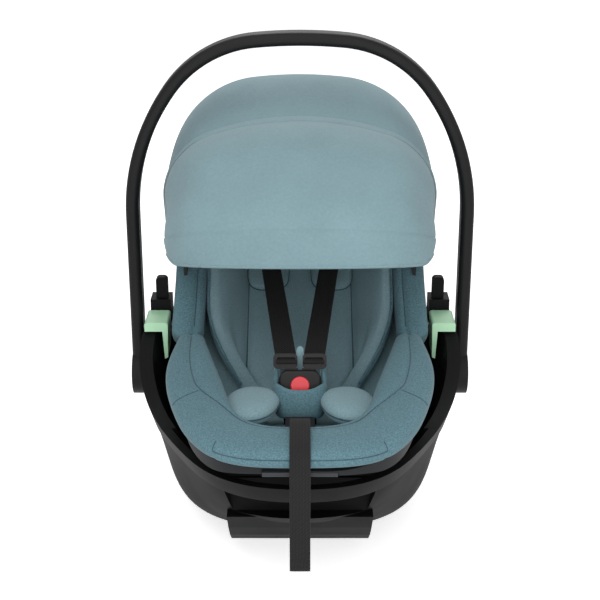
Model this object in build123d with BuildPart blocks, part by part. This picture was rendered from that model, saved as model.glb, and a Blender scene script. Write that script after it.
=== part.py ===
"""Infant car seat: a carrier shell with a tilting seat, carry handle, folding canopy and harness.

Millimetres, +Z up, +Y towards the head end, origin on the floor under the seat.
The carrier shell stands on its foot. The seat bucket tilts on two pins in the side arms.
"""

import os
from math import asin, cos, degrees, radians, sin, sqrt, tan

from build123d import *

os.makedirs("parts", exist_ok=True)

# Driving dimensions of the carrier: (height, half width, front y, back y, front power) of its plan
HULL_LEVELS = [
    (12.0, 124.0, -128.0, 138.0, 3.0),
    (36.0, 146.0, -160.0, 162.0, 3.0),
    (82.0, 165.0, -230.0, 190.0, 2.2),
    (146.0, 183.0, -290.0, 212.0, 2.0),
    (216.0, 193.0, -335.0, 222.0, 2.0),
]
HULL_WIDEST_Y = 20.0
SHELL_WALL = 4.0
ARM_WIDTH = 15.0
BAND_WIDTH = 10.0
BAND_PROUD = 1.2
BAND_SPLIT_Y = -150.0
ARM_BACK_Y = 96.0
ARM_TOP = 212.0
# Points (y, z) on the lower and the upper edge of the band, from the front to the arm
BAND_LOW = [(-360, 141), (-150, 136), (-60, 130), (20, 118), (ARM_BACK_Y, 112)]
BAND_HIGH = [(-360, 162), (-290, 161), (-150, 158), (-60, 175), (0, 206), (22, ARM_TOP)]
SEAM_GAP = 0.5
NOTCH_BACK_Y = -230.0
NOTCH_FLOOR = 97.0
NOTCH_LOW_HALF = 74.0
NOTCH_HIGH_HALF = 84.0
FOOT_HALF = 79.5
# Points (y, z) round the chin between the foot and the grab recess
CHIN = [(-110, 12.5), (-149, 12.5), (-180, 36), (-208, 62), (-236, 92), (-190, 92)]
CHIN_HALF = 81.0

# Driving dimensions of the handle
HANDLE_Y = 55.0
PIVOT_Z = 139.0
HANDLE_TOP = 575.9
HANDLE_HALF = 214.3
BAR_THICK = 16.0
BAR_DEEP = 30.0
CROWN_RADIUS = 586.0
CROWN_HALF_ANGLE = 5.28
CORNER_RADIUS = 151.0
CORNER_ANGLE = 48.12
SHOULDER_RADIUS = 268.7
SHOULDER_ANGLE = 36.6
HUB_RADIUS = 29.0
PIN_RADIUS = 6.0
PIN_PLAY = 0.05
BUTTON_RADIUS = 14.0
BUTTON_TRAVEL = 4.0

# Driving dimensions of the seat bucket: its floor falls to the hip line from both ends
HIP_Y = 10.0
HIP_Z = 76.0
PAN_SLOPE = -18.7
# Half width, corner radius and outward lean of the channel along the pan and along the back
PAN_CHANNEL = (130.0, 50.0, 30.0)
BACK_CHANNEL = (158.0, 66.0, 6.0)
# Right half of the bucket's plan, from its front to its head end
BUCKET_PLAN = [
    (0, -311),
    (76, -297),
    (104, -265),
    (126, -208),
    (139, -130),
    (144, -55),
    (149, 40),
    (151, 120),
    (147, 200),
    (110, 280),
    (0, 314),
]
# Points (y, z) along the bucket's rim
BUCKET_RIM = [(-330, 190), (-250, 194), (-46, 204), (-34, 178), (-16, 183), (10, 198), (60, 230), (150, 288), (250, 352), (350, 417)]
BUCKET_WALL = 3.6
TILT_Y = 75.0
TILT_Z = 197.0
TILT_PIN_RADIUS = 5.0

# Driving dimensions of the padded rims
RIM_FRONT = (-270.0, 195.0)
RIM_SLOPE = 4.1
RIM_THICK = 24.0
HEAD_FOOT = (-10.0, 216.0)
HEAD_SLOPE = 33.0
HEAD_THICK = 22.0
HEAD_HALF = 159.0
HEAD_INNER_HALF = 120.0
HEAD_LENGTH = 393.0

# Driving dimensions of the back, the headrest and the harness
BACK_ORIGIN = (0.0, 10.0, 121.0)
BACK_SLOPE = 33.0
HEADREST_TRAVEL = 45.0
STRAP_WIDE = 25.0
STRAP_THICK = 1.6
STRAP_X = 44.0
BUCKLE_CENTRE = (0.0, -120.0, 197.5)
BUCKLE_LEAN = 20.0
RED_RADIUS = 11.0
RED_TRAVEL = 3.0
TAIL_WIDE = 21.5

# Driving dimensions of the canopy: (angle, half width, radius, crown radius, corner radius)
CANOPY_Y = 75.0
CANOPY_Z = 290.0
CANOPY_THICK = 3.0
CANOPY_FRONT = [
    (165.0, 157.0, 197.0, 330.0, 78.0),
    (150.0, 161.5, 199.0, 330.0, 84.0),
    (132.0, 160.0, 193.0, 330.0, 84.0),
    (114.0, 164.5, 189.0, 330.0, 86.0),
    (97.0, 168.0, 180.0, 330.0, 90.0),
]
CANOPY_REAR = [
    (93.0, 168.0, 180.0, 330.0, 90.0),
    (80.0, 165.0, 204.0, 420.0, 100.0),
    (69.0, 162.5, 226.0, 500.0, 110.0),
    (50.0, 162.0, 253.0, 460.0, 120.0),
    (31.5, 162.0, 279.0, 380.0, 120.0),
]
CANOPY_ROOT = 20.0
FRONT_BOW_ANGLE = 163.0
MID_BOW_ANGLE = 95.0
BOW_THICK = 3.5
BOW_WIDE = 10.0


# Shared geometry

def hull_slice(height, half_width, front, back, power, inset):
    """Egg-shaped plan of the carrier at one height."""
    wide = half_width - inset
    front_y = front + inset
    back_y = back - inset
    ahead = front_y - HULL_WIDEST_Y
    behind = back_y - HULL_WIDEST_Y
    round_off = 0.5 ** (1 / power)
    square_off = 0.5 ** (1 / 2.6)
    with BuildSketch(Plane.XY.offset(height)) as plan:
        with BuildLine():
            Spline(
                (0, front_y),
                (wide * round_off, HULL_WIDEST_Y + ahead * round_off),
                (wide, HULL_WIDEST_Y),
                (wide * square_off, HULL_WIDEST_Y + behind * square_off),
                (0, back_y),
                tangents=[(1, 0), (-1, 0)],
            )
            mirror(about=Plane.YZ)
        make_face()
    return plan.sketch


def hull(inset, lift=0.0):
    """Solid of the carrier's outer form, drawn in by an inset, with its floor lifted."""
    slices = []
    for number, (height, half_width, front, back, power) in enumerate(HULL_LEVELS):
        raised = height + lift if number == 0 else height
        slices.append(hull_slice(raised, half_width, front, back, power, inset))
    with BuildPart() as body:
        loft(sections=slices)
    return body.part


def drawn_in(points, inset):
    """Points of a half outline, moved square to it by an inset and kept on the middle plane."""
    moved = []
    for number, (x, y) in enumerate(points):
        x0, y0 = points[max(number - 1, 0)]
        x1, y1 = points[min(number + 1, len(points) - 1)]
        length = sqrt((x1 - x0) ** 2 + (y1 - y0) ** 2)
        step_x = -(y1 - y0) / length * inset if x > 0 else 0.0
        step_y = (x1 - x0) / length * inset if x > 0 else inset
        moved.append((x + step_x, y + step_y))
    return moved


def floor_line(lift):
    """Points (y, z) along the bucket's floor, from the front over the hip to the head end."""
    front = HIP_Z + lift - tan(radians(PAN_SLOPE)) * 340
    back = HIP_Z + lift + tan(radians(BACK_SLOPE)) * 340
    return [(HIP_Y - 340, front), (HIP_Y, HIP_Z + lift), (HIP_Y + 340, back)]


def floor_slab(low, high, front, back, half):
    """Slab that follows the bucket's floor between two heights above its underside."""
    with BuildPart() as slab:
        with BuildSketch(Plane.YZ):
            with BuildLine():
                Polyline(*floor_line(low), *reversed(floor_line(high)), close=True)
            make_face()
        extrude(amount=half, both=True)
        hip = slab.edges().filter_by(Axis.X).filter_by(lambda edge: abs(edge.center().Y - HIP_Y) < 1)
        fillet(hip, 30)
        with Locations((0, (front + back) / 2, 250)):
            Box(2 * half, back - front, 500, mode=Mode.INTERSECT)
    return slab.part


def channel(slope, size, inset):
    """Long channel with rounded lower corners along a sloping floor through the hip."""
    half, corner, lean = size
    base = tilted((0, HIP_Y, HIP_Z), slope)
    across = Plane(base.origin, x_dir=(1, 0, 0), z_dir=-base.y_dir)
    wide = half - inset
    radius = corner - inset
    low = 1.1 * inset
    high = low + radius
    with BuildPart() as body:
        with BuildSketch(across.offset(-500)):
            with BuildLine():
                Line((radius - wide, low), (wide - radius, low))
                RadiusArc((wide - radius, low), (wide, high), -radius)
                Polyline((wide, high), (wide + lean, high + 60), (wide + lean, 500), (-wide - lean, 500))
                Polyline((-wide - lean, 500), (-wide - lean, high + 60), (-wide, high))
                RadiusArc((-wide, high), (radius - wide, low), -radius)
            make_face()
        extrude(amount=1000)
    return body.part


def bucket_form(inset, rim_cut):
    """Solid inside the bucket's outline, drawn in by an inset, cut along the rim if wanted."""
    inside = drawn_in(BUCKET_PLAN, inset)
    inside[-1] = (0, BUCKET_PLAN[-1][1] - inset)
    with BuildPart() as body:
        add(channel(PAN_SLOPE, PAN_CHANNEL, inset))
        add(channel(BACK_SLOPE, BACK_CHANNEL, inset), mode=Mode.INTERSECT)
        with BuildSketch(Plane.XY):
            with BuildLine():
                Spline(*inside, *[(-x, y) for x, y in reversed(inside[1:-1])], periodic=True)
            make_face()
        extrude(amount=460, mode=Mode.INTERSECT)
        if rim_cut:
            with BuildSketch(Plane.YZ):
                with BuildLine():
                    Polyline(*BUCKET_RIM, (350, 0), (-330, 0), close=True)
                make_face()
            extrude(amount=200, both=True, mode=Mode.INTERSECT)
    return body.part


def tilted(origin, slope):
    """Plane whose local y climbs towards the head end at a slope in degrees."""
    rise = radians(slope)
    return Plane(origin=origin, x_dir=(1, 0, 0), z_dir=(0, -sin(rise), cos(rise)))


def arch_lines(half_width, radius, crown, corner, root):
    """Lines and arcs of one canopy arch, from the right foot to the left foot."""
    turn = asin((half_width - corner) / (crown - corner))
    shoulder = radius - crown * (1 - cos(turn)) - corner * cos(turn)
    Line((half_width, root), (half_width, shoulder))
    right = JernArc((half_width, shoulder), (0, 1), corner, 90 - degrees(turn))
    top = JernArc(right @ 1, right % 1, crown, 2 * degrees(turn))
    left = JernArc(top @ 1, top % 1, corner, 90 - degrees(turn))
    Line(left @ 1, (-half_width, root))


def arch_face(angle, half_width, radius, crown, corner, thick, root):
    """Thin arch-shaped face in the plane through the canopy pivot at one angle."""
    with BuildSketch(tilted((0, CANOPY_Y, CANOPY_Z), angle)) as face:
        with BuildLine():
            arch_lines(half_width, radius, crown, corner, root)
            arch_lines(half_width - thick, radius - thick, crown - thick, corner - thick, root)
            Line((half_width, root), (half_width - thick, root))
            Line((-half_width, root), (-half_width + thick, root))
        make_face()
    return face.sketch


BACK = tilted(BACK_ORIGIN, BACK_SLOPE)
BACK_ACROSS = Plane(BACK_ORIGIN, x_dir=(1, 0, 0), z_dir=-BACK.y_dir)
RIM = tilted((0, *RIM_FRONT), RIM_SLOPE)
HEAD = tilted((0, *HEAD_FOOT), HEAD_SLOPE)
BUCKLE = Plane(
    BUCKLE_CENTRE,
    x_dir=(1, 0, 0),
    z_dir=(0, -cos(radians(BUCKLE_LEAN)), sin(radians(BUCKLE_LEAN))),
)
SIDE_PIVOT = Plane((0, HANDLE_Y, PIVOT_Z), x_dir=(0, 1, 0), z_dir=(1, 0, 0))
SIDE_TILT = Plane((0, TILT_Y, TILT_Z), x_dir=(0, 1, 0), z_dir=(1, 0, 0))
SIDE_CANOPY = Plane((0, CANOPY_Y, CANOPY_Z), x_dir=(0, 1, 0), z_dir=(1, 0, 0))


# Carrier shell, band and foot

def notch(grow):
    """Block that makes the grab recess under the front band, grown into the shell."""
    low = NOTCH_LOW_HALF + grow
    high = NOTCH_HIGH_HALF + grow
    floor = NOTCH_FLOOR - grow
    with BuildPart() as block:
        with BuildSketch(Plane.XZ.offset(-NOTCH_BACK_Y - grow)):
            with BuildLine():
                Polyline((-low, floor), (low, floor), (high, 150), (-high, 150), close=True)
            make_face()
        extrude(amount=130)
    return block.part


LATCH_Y = (-60.0, 92.0)
LATCH_Z = 25.0
LATCH_RADIUS = 5.0
FOOT_SCREWS = [(-55.0, -98.0), (55.0, -98.0), (-55.0, 35.0), (55.0, 35.0)]
SCREW_RADIUS = 2.5
SCREW_HEAD = 4.9

with BuildPart() as cavity:
    add(hull(SHELL_WALL, SHELL_WALL))
    add(notch(SHELL_WALL), mode=Mode.SUBTRACT)

with BuildPart() as carrier_shell:
    add(hull(0))
    with BuildSketch(Plane.YZ):
        with BuildLine():
            Polyline(*CHIN, close=True)
        make_face()
    extrude(amount=CHIN_HALF, both=True)
    add(notch(0), mode=Mode.SUBTRACT)
    add(cavity.part, mode=Mode.SUBTRACT)
    with BuildSketch(Plane.YZ):
        with BuildLine():
            Spline(*BAND_LOW)
            Polyline((ARM_BACK_Y, 112), (ARM_BACK_Y, 168), (150, 150), (260, 146), (260, 400))
            Polyline((260, 400), (-360, 400), BAND_LOW[0])
        make_face()
    extrude(amount=260, both=True, mode=Mode.SUBTRACT)
    with Locations(*[(side * 53, y, LATCH_Z) for y in LATCH_Y for side in (-1, 1)]):
        Box(18, 22, 19)
    with Locations(*[(0, y, 12) for y in LATCH_Y]):
        Box(84, 34, 24, mode=Mode.SUBTRACT)
    with BuildSketch(Plane.YZ.offset(-70)):
        with Locations(*[(y, LATCH_Z) for y in LATCH_Y]):
            Circle(LATCH_RADIUS)
    extrude(amount=140, mode=Mode.SUBTRACT)
    with Locations(*[(x, y, 14) for x, y in FOOT_SCREWS]):
        Cylinder(SCREW_RADIUS, 20, mode=Mode.SUBTRACT)

with BuildPart() as latch_bars:
    with BuildSketch(Plane.YZ.offset(-61)):
        with Locations(*[(y, LATCH_Z) for y in LATCH_Y]):
            Circle(LATCH_RADIUS)
    extrude(amount=122)

with BuildPart() as rocker_foot:
    with BuildSketch(Plane.YZ):
        with BuildLine():
            Line((-110, 0), (118, 0))
            TangentArc((118, 0), (138, 12), tangent=(1, 0))
            Line((138, 12), (-148, 12))
            TangentArc((-110, 0), (-148, 12), tangent=(-1, 0))
        make_face()
    extrude(amount=FOOT_HALF, both=True)
    with BuildSketch(Plane.XY.offset(-1)):
        with Locations((0, -5)):
            RectangleRounded(2 * FOOT_HALF, 286, 58)
    extrude(amount=60, mode=Mode.INTERSECT)
    with Locations(*[(0, y, 6) for y in LATCH_Y]):
        Box(84, 34, 24, mode=Mode.SUBTRACT)
    with Locations(*[(x, y, 0) for x, y in FOOT_SCREWS]):
        Cylinder(SCREW_HEAD + 0.2, 10, mode=Mode.SUBTRACT)
        Cylinder(SCREW_RADIUS, 40, mode=Mode.SUBTRACT)

with BuildPart() as foot_screws:
    with Locations(*[(x, y, 3.5) for x, y in FOOT_SCREWS]):
        Cylinder(SCREW_HEAD, 3)
    with Locations(*[(x, y, 11) for x, y in FOOT_SCREWS]):
        Cylinder(SCREW_RADIUS, 14)

def band_ring(width):
    """Ring of the carrier's outline, a little proud of the shell."""
    with BuildPart() as ring:
        add(hull(-BAND_PROUD))
        add(hull(width), mode=Mode.SUBTRACT)
    return ring.part


with BuildSketch(Plane.YZ) as band_outline:
    with BuildLine():
        Spline(*BAND_LOW)
        Spline(*BAND_HIGH)
        Polyline(BAND_HIGH[-1], (ARM_BACK_Y, ARM_TOP), BAND_LOW[-1])
        Line(BAND_HIGH[0], BAND_LOW[0])
    make_face()

with BuildPart() as front_band:
    add(band_ring(BAND_WIDTH))
    extrude(band_outline.sketch, amount=260, both=True, mode=Mode.INTERSECT)
    split(bisect_by=Plane.XZ.offset(-BAND_SPLIT_Y), keep=Keep.TOP)

with BuildPart() as side_arm_right:
    add(band_ring(ARM_WIDTH))
    extrude(band_outline.sketch, amount=260, mode=Mode.INTERSECT)
    split(bisect_by=Plane.XZ.offset(-BAND_SPLIT_Y - SEAM_GAP), keep=Keep.BOTTOM)
    with BuildSketch(SIDE_PIVOT.offset(165)):
        Circle(24)
    extrude(amount=32.5)
    with BuildSketch(SIDE_PIVOT.offset(160)):
        Circle(PIN_RADIUS)
    extrude(amount=60, mode=Mode.SUBTRACT)
    with BuildSketch(SIDE_TILT.offset(150)):
        Circle(TILT_PIN_RADIUS)
    extrude(amount=36, mode=Mode.SUBTRACT)

with BuildPart() as side_arm_left:
    mirror(side_arm_right.part, about=Plane.YZ)

with BuildPart() as shoulder_belt_guide:
    with BuildSketch(Plane.XY.offset(112)):
        with Locations((0, 212)):
            RectangleRounded(70, 30, 8)
        with Locations((0, 217)):
            RectangleRounded(54, 7, 3, mode=Mode.SUBTRACT)
    extrude(amount=26)
    add(hull(0), mode=Mode.SUBTRACT)

# Belt guides, belt hooks and tilt pins on the side arms

with BuildPart() as belt_guide_right:
    with BuildSketch(Plane.XZ.offset(-8)):
        with BuildLine():
            Polyline((164, 224), (193, 224), (193, 212.5), (171, 212.5), (169, 176), (165, 178), close=True)
        make_face()
    extrude(amount=-44)
    fillet(belt_guide_right.edges().filter_by(Axis.Y).group_by(Axis.Z)[-1], 3)
    add(side_arm_right.part, mode=Mode.SUBTRACT)

with BuildPart() as belt_guide_left:
    mirror(belt_guide_right.part, about=Plane.YZ)

with BuildPart() as belt_hook_right:
    with BuildSketch(Plane.YZ.offset(164)):
        with BuildLine():
            Polyline((56, ARM_TOP), (88, ARM_TOP), (86, 236), (58, 236), close=True)
        make_face()
    extrude(amount=26)
    with BuildSketch(Plane.XZ.offset(-64)):
        with Locations((175.5, 246)):
            RectangleRounded(15, 36, 5)
    extrude(amount=-10)

with BuildPart() as belt_hook_left:
    mirror(belt_hook_right.part, about=Plane.YZ)

with BuildPart() as tilt_pin_right:
    with BuildSketch(SIDE_TILT.offset(143)):
        Circle(TILT_PIN_RADIUS)
    extrude(amount=42)
    with BuildSketch(SIDE_TILT.offset(154.4)):
        Circle(9)
    extrude(amount=2.6)

with BuildPart() as tilt_pin_left:
    mirror(tilt_pin_right.part, about=Plane.YZ)

# Carry handle

BAR_X = HANDLE_HALF - BAR_THICK / 2
HUB_IN = HANDLE_HALF - BAR_THICK
SHOULDER_BEND = SHOULDER_RADIUS - BAR_THICK / 2
CORNER_BEND = CORNER_RADIUS - BAR_THICK / 2
TURNED = SHOULDER_ANGLE + CORNER_ANGLE
IN_SHOULDER = SHOULDER_BEND * (1 - cos(radians(SHOULDER_ANGLE)))
IN_CORNER = CORNER_BEND * (cos(radians(SHOULDER_ANGLE)) - cos(radians(TURNED)))
CROWN_BEND = (BAR_X - IN_SHOULDER - IN_CORNER) / cos(radians(TURNED))
RISE = (
    SHOULDER_BEND * sin(radians(SHOULDER_ANGLE))
    + CORNER_BEND * (sin(radians(TURNED)) - sin(radians(SHOULDER_ANGLE)))
    + CROWN_BEND * (1 - sin(radians(TURNED)))
)
LEG_TOP = HANDLE_TOP - BAR_THICK / 2 - RISE


def handle_path(foot):
    """Centre line of the handle, from the right foot over the crown to the left foot."""
    with BuildLine(Plane.XZ.offset(-HANDLE_Y)) as path:
        leg = Line((BAR_X, foot), (BAR_X, LEG_TOP))
        shoulder = JernArc(leg @ 1, (0, 1), SHOULDER_BEND, SHOULDER_ANGLE)
        corner = JernArc((BAR_X - IN_SHOULDER, LEG_TOP + SHOULDER_BEND * sin(radians(SHOULDER_ANGLE))),
                         (-sin(radians(SHOULDER_ANGLE)), cos(radians(SHOULDER_ANGLE))),
                         CORNER_BEND, CORNER_ANGLE)
        crown_start = (CROWN_BEND * cos(radians(TURNED)),
                       HANDLE_TOP - BAR_THICK / 2 - CROWN_BEND * (1 - sin(radians(TURNED))))
        JernArc(crown_start, (-sin(radians(TURNED)), cos(radians(TURNED))), CROWN_BEND,
                CROWN_HALF_ANGLE)
        mirror(about=Plane.YZ)
    return path.wires()[0]


def bar_section(foot, shift, thick, deep, corner):
    """Section of the handle at its right foot, moved across the bar by a shift."""
    with BuildSketch(Plane((BAR_X + shift, HANDLE_Y, foot), z_dir=(0, 0, 1))) as section:
        RectangleRounded(thick, deep, corner)
    return section.sketch


LINER_FOOT = PIVOT_Z + 50
LINER_DEEP = 17.0
LINER_THICK = 3.0
LINER_SHIFT = (LINER_THICK - BAR_THICK) / 2

with BuildPart() as handle_liner:
    sweep(bar_section(LINER_FOOT, LINER_SHIFT, LINER_THICK, LINER_DEEP, 1.2), handle_path(LINER_FOOT))

with BuildPart() as handle_bar:
    sweep(bar_section(PIVOT_Z, 0, BAR_THICK, BAR_DEEP, 6.5), handle_path(PIVOT_Z))
    for side in (-1, 1):
        inner = HUB_IN if side > 0 else -HANDLE_HALF
        with BuildSketch(SIDE_PIVOT.offset(inner)):
            Circle(HUB_RADIUS)
        extrude(amount=BAR_THICK)
    for side in (-1, 1):
        bore = HUB_IN - 1 if side > 0 else -HANDLE_HALF - 1
        pocket = HUB_IN + 5 if side > 0 else -HANDLE_HALF - 1
        with BuildSketch(SIDE_PIVOT.offset(bore)):
            Circle(PIN_RADIUS + PIN_PLAY)
        extrude(amount=BAR_THICK + 2, mode=Mode.SUBTRACT)
        with BuildSketch(SIDE_PIVOT.offset(pocket)):
            Circle(BUTTON_RADIUS + 0.3)
        extrude(amount=BAR_THICK - 4, mode=Mode.SUBTRACT)
    add(handle_liner.part, mode=Mode.SUBTRACT)

with BuildPart() as handle_pin_right:
    with BuildSketch(SIDE_PIVOT.offset(172)):
        Circle(PIN_RADIUS)
    extrude(amount=HUB_IN + 5.2 - 172)
    with BuildSketch(SIDE_PIVOT.offset(HUB_IN + 5.2)):
        Circle(9)
    extrude(amount=2)

with BuildPart() as handle_pin_left:
    mirror(handle_pin_right.part, about=Plane.YZ)

with BuildPart() as handle_button_right:
    with BuildSketch(SIDE_PIVOT.offset(HANDLE_HALF - 4.4)):
        Circle(BUTTON_RADIUS)
    extrude(amount=6.4)
    fillet(handle_button_right.edges().sort_by(Axis.X)[-1], 1.8)

with BuildPart() as handle_button_left:
    mirror(handle_button_right.part, about=Plane.YZ)

with BuildPart() as button_spring_right:
    with BuildSketch(SIDE_PIVOT.offset(HUB_IN + 5)):
        Circle(12.5)
        Circle(10.5, mode=Mode.SUBTRACT)
    extrude(amount=6.5)

with BuildPart() as button_spring_left:
    mirror(button_spring_right.part, about=Plane.YZ)

# Seat bucket, foam liner and inner cover

CROTCH_Y = -127.0
SLOT_ALONG = 230.0
BOSS_RADIUS = 12.0
LEVER_HALF = 39.0
LEVER_TALL = 5.4
LEVER_Z = 186.0
LEVER_FRONT = -313.5


def harness_slots():
    """Blocks that clear the shoulder straps, the crotch strap and the adjuster strap."""
    with BuildPart() as slots:
        with BuildSketch(BACK.offset(-80)):
            with Locations((-STRAP_X, SLOT_ALONG + 22), (STRAP_X, SLOT_ALONG + 22)):
                Rectangle(STRAP_WIDE + 5, HEADREST_TRAVEL + 9)
        extrude(amount=140)
        with Locations((0, CROTCH_Y, 130)):
            Box(43, 8, 80)
        with Locations((0, -176, 150)):
            Box(TAIL_WIDE + 4, 8, 70)
    return slots.part


def trunnions(radius, inside, outside):
    """Round blocks on both sides at the tilt axis."""
    with BuildPart() as pair:
        for start in (inside, -outside):
            with BuildSketch(SIDE_TILT.offset(start)):
                Circle(radius)
            extrude(amount=outside - inside)
    return pair.part


ADJUSTER_BOX = (34.0, 32.0, 30.0)
ADJUSTER_PLACE = (0.0, -176.0, 163.0)

with BuildPart() as seat_bucket:
    add(bucket_form(0, True))
    add(bucket_form(BUCKET_WALL, False), mode=Mode.SUBTRACT)
    add(trunnions(BOSS_RADIUS, 139, 154))
    add(trunnions(TILT_PIN_RADIUS + PIN_PLAY, 130, 160), mode=Mode.SUBTRACT)
    add(harness_slots(), mode=Mode.SUBTRACT)
    with Locations((0, -308, LEVER_Z)):
        Box(2 * LEVER_HALF + 1, 24, LEVER_TALL + 0.6, mode=Mode.SUBTRACT)

with BuildPart() as inner_cover:
    add(floor_slab(24, 31.5, -226, 270, 100))
    add(harness_slots(), mode=Mode.SUBTRACT)
    with Locations(ADJUSTER_PLACE):
        Box(*ADJUSTER_BOX, mode=Mode.SUBTRACT)

with BuildPart() as foam_liner:
    add(floor_slab(9, 23, -226, 270, 76))
    add(harness_slots(), mode=Mode.SUBTRACT)
    with Locations(ADJUSTER_PLACE):
        Box(*ADJUSTER_BOX, mode=Mode.SUBTRACT)

with BuildPart() as recline_lever:
    with Locations((0, LEVER_FRONT + 8, LEVER_Z)):
        Box(2 * LEVER_HALF, 16, LEVER_TALL)
    fillet(recline_lever.edges().filter_by(Axis.X).group_by(Axis.Y)[0], 1.5)

# Padded rims

RIM_OUTER = [(0, -50), (86, -35), (116, 0), (139, 60), (153, 140), (146, 216)]
RIM_INNER = [(0, 12), (53, 25), (71, 50), (82, 90), (99, 160), (113, 216)]
RIM_END = (130, 229)
HEAD_OUTER = [(0, HEAD_LENGTH), (118, 350), (HEAD_HALF, 240), (HEAD_HALF, 130), (HEAD_HALF, 28)]
HEAD_INNER = [(0, 350), (86, 322), (HEAD_INNER_HALF, 240), (HEAD_INNER_HALF, 130), (HEAD_INNER_HALF, 28)]
HEAD_END = (139.5, 12)
# Height share and draw-in of a pad's layers, from its underside over its sides to its crown
PAD_LAYERS = [(0.0, 5.0), (0.3, 0.5), (0.65, 0.8), (0.9, 5.0), (1.0, 11.0)]


def pad_face(plane, height, outer, inner, end, inset, inward):
    """Layer of a U-shaped pad: outer and inner outline joined by a round end on each side."""
    outside = drawn_in(outer, inset * inward)
    inside = drawn_in(inner, -inset * inward)
    tip = (end[0], end[1] - inset * inward)
    with BuildSketch(plane.offset(height)) as layer:
        with BuildLine():
            Spline(*outside, tangents=[(1, 0), (0, inward)])
            ThreePointArc(outside[-1], tip, inside[-1])
            Spline(*inside, tangents=[(1, 0), (0, inward)])
            mirror(about=Plane.YZ)
        make_face()
    return layer.sketch


with BuildPart() as rim_cover:
    loft(sections=[pad_face(RIM, share * RIM_THICK, RIM_OUTER, RIM_INNER, RIM_END, inset, 1)
                   for share, inset in PAD_LAYERS])

with BuildPart() as head_pad:
    loft(sections=[pad_face(HEAD, (share - 1) * HEAD_THICK, HEAD_OUTER, HEAD_INNER, HEAD_END, inset, -1)
                   for share, inset in PAD_LAYERS])

# Headrest with its wings, and the shoulder pads

HEADREST_SLICES = [
    (18.0, 84.0, 72.0, 24.0, 14.0),
    (70.0, 112.0, 98.0, 62.0, 16.0),
    (130.0, 117.0, 103.0, 78.0, 17.0),
    (224.0, 117.0, 103.0, 80.0, 17.0),
    (250.0, 110.0, 96.0, 66.0, 14.0),
]
PANEL_HALF = 84.0
PAD_REST = 18.0


def headrest_slice(along, wing_out, wing_in, tall, thick):
    """Section of the headrest pad: a flat panel with a wing on each side."""
    floor = PANEL_HALF - 14
    base = min(PANEL_HALF, wing_out - 12)
    floor = min(floor, wing_in - 6)
    right = [(base, 0), (wing_out, 0.55 * tall), (wing_out - 2, tall), (wing_in, tall), (floor, thick)]
    left = [(-x, n) for x, n in reversed(right)]
    with BuildSketch(BACK_ACROSS.offset(-along)) as section:
        with BuildLine():
            Polyline(*right, *left, close=True)
        make_face()
        fillet(section.vertices(), 4)
    return section.sketch


with BuildPart() as headrest_slots:
    with BuildSketch(BACK.offset(-12)):
        with Locations((-STRAP_X, SLOT_ALONG), (STRAP_X, SLOT_ALONG)):
            Rectangle(STRAP_WIDE + 5, 9)
    extrude(amount=60)

with BuildPart() as headrest_pad:
    loft(sections=[headrest_slice(*values) for values in HEADREST_SLICES])
    add(headrest_slots.part, mode=Mode.SUBTRACT)

with BuildPart() as headrest_shell:
    with BuildSketch(BACK.offset(-4)):
        with Locations((0, 136)):
            RectangleRounded(136, 216, 14)
    extrude(amount=3.5)
    add(headrest_slots.part, mode=Mode.SUBTRACT)

with BuildPart() as shoulder_pad_right:
    with BuildSketch(BACK.offset(PAD_REST)):
        with Locations((STRAP_X - 2, 186)):
            RectangleRounded(54, 64, 18)
    extrude(amount=11)
    crown = shoulder_pad_right.faces().filter_by(BACK).sort_by(Axis.Z)[-1]
    fillet(crown.edges(), 5)

with BuildPart() as shoulder_pad_left:
    mirror(shoulder_pad_right.part, about=Plane.YZ)

# Buckle, crotch strap and crotch pad

with BuildPart() as buckle_body:
    with BuildSketch(BUCKLE.offset(-12)):
        with Locations((0, -8)):
            RectangleRounded(48, 52, 10)
    extrude(amount=15)
    front = buckle_body.faces().sort_by(Axis.Y)[0]
    fillet(front.edges(), 2.5)
    with BuildSketch(BUCKLE.offset(-8)):
        Circle(RED_RADIUS + 0.15)
    extrude(amount=14, mode=Mode.SUBTRACT)
    with BuildSketch(BUCKLE.offset(-11)):
        with Locations((-10.5, 14), (10.5, 14)):
            Rectangle(18, 12)
    extrude(amount=3.2, mode=Mode.SUBTRACT)

with BuildPart() as buckle_button:
    with BuildSketch(BUCKLE.offset(-3)):
        Circle(RED_RADIUS)
    extrude(amount=8)
    fillet(buckle_button.edges().sort_by(Axis.Y)[0], 1.5)

with BuildPart() as buckle_spring:
    with BuildSketch(BUCKLE.offset(-8)):
        Circle(8)
        Circle(6.5, mode=Mode.SUBTRACT)
    extrude(amount=4.9)

with BuildPart() as tongue_right:
    with BuildSketch(BUCKLE.offset(-10.8)):
        with Locations((17, 28)):
            RectangleRounded(28, 18, 5)
        with Locations((10.5, 15)):
            Rectangle(16, 10)
        with Locations((16, 30)):
            RectangleRounded(22, 5, 2, mode=Mode.SUBTRACT)
    extrude(amount=2.8)

with BuildPart() as tongue_left:
    mirror(tongue_right.part, about=Plane.YZ)

with BuildPart() as crotch_strap:
    with Locations((0, CROTCH_Y, 139)):
        Box(38, 2, 66)
    add(buckle_body.part, mode=Mode.SUBTRACT)

with BuildPart() as crotch_anchor:
    with Locations((0, CROTCH_Y, 104)):
        Box(48, 14, 4)
    add(crotch_strap.part, mode=Mode.SUBTRACT)

CUP_FOOT = -36.0
CUP = Plane(BUCKLE.from_local_coords(Vector(0, CUP_FOOT, -4)), x_dir=(1, 0, 0), z_dir=BUCKLE.y_dir)
# Height of the cup's edge at distances behind the buckle's middle, from its front to its flap
CUP_EDGE = [(-34, 33), (-8, 36), (8, 46), (18, 66), (34, 72)]

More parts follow.
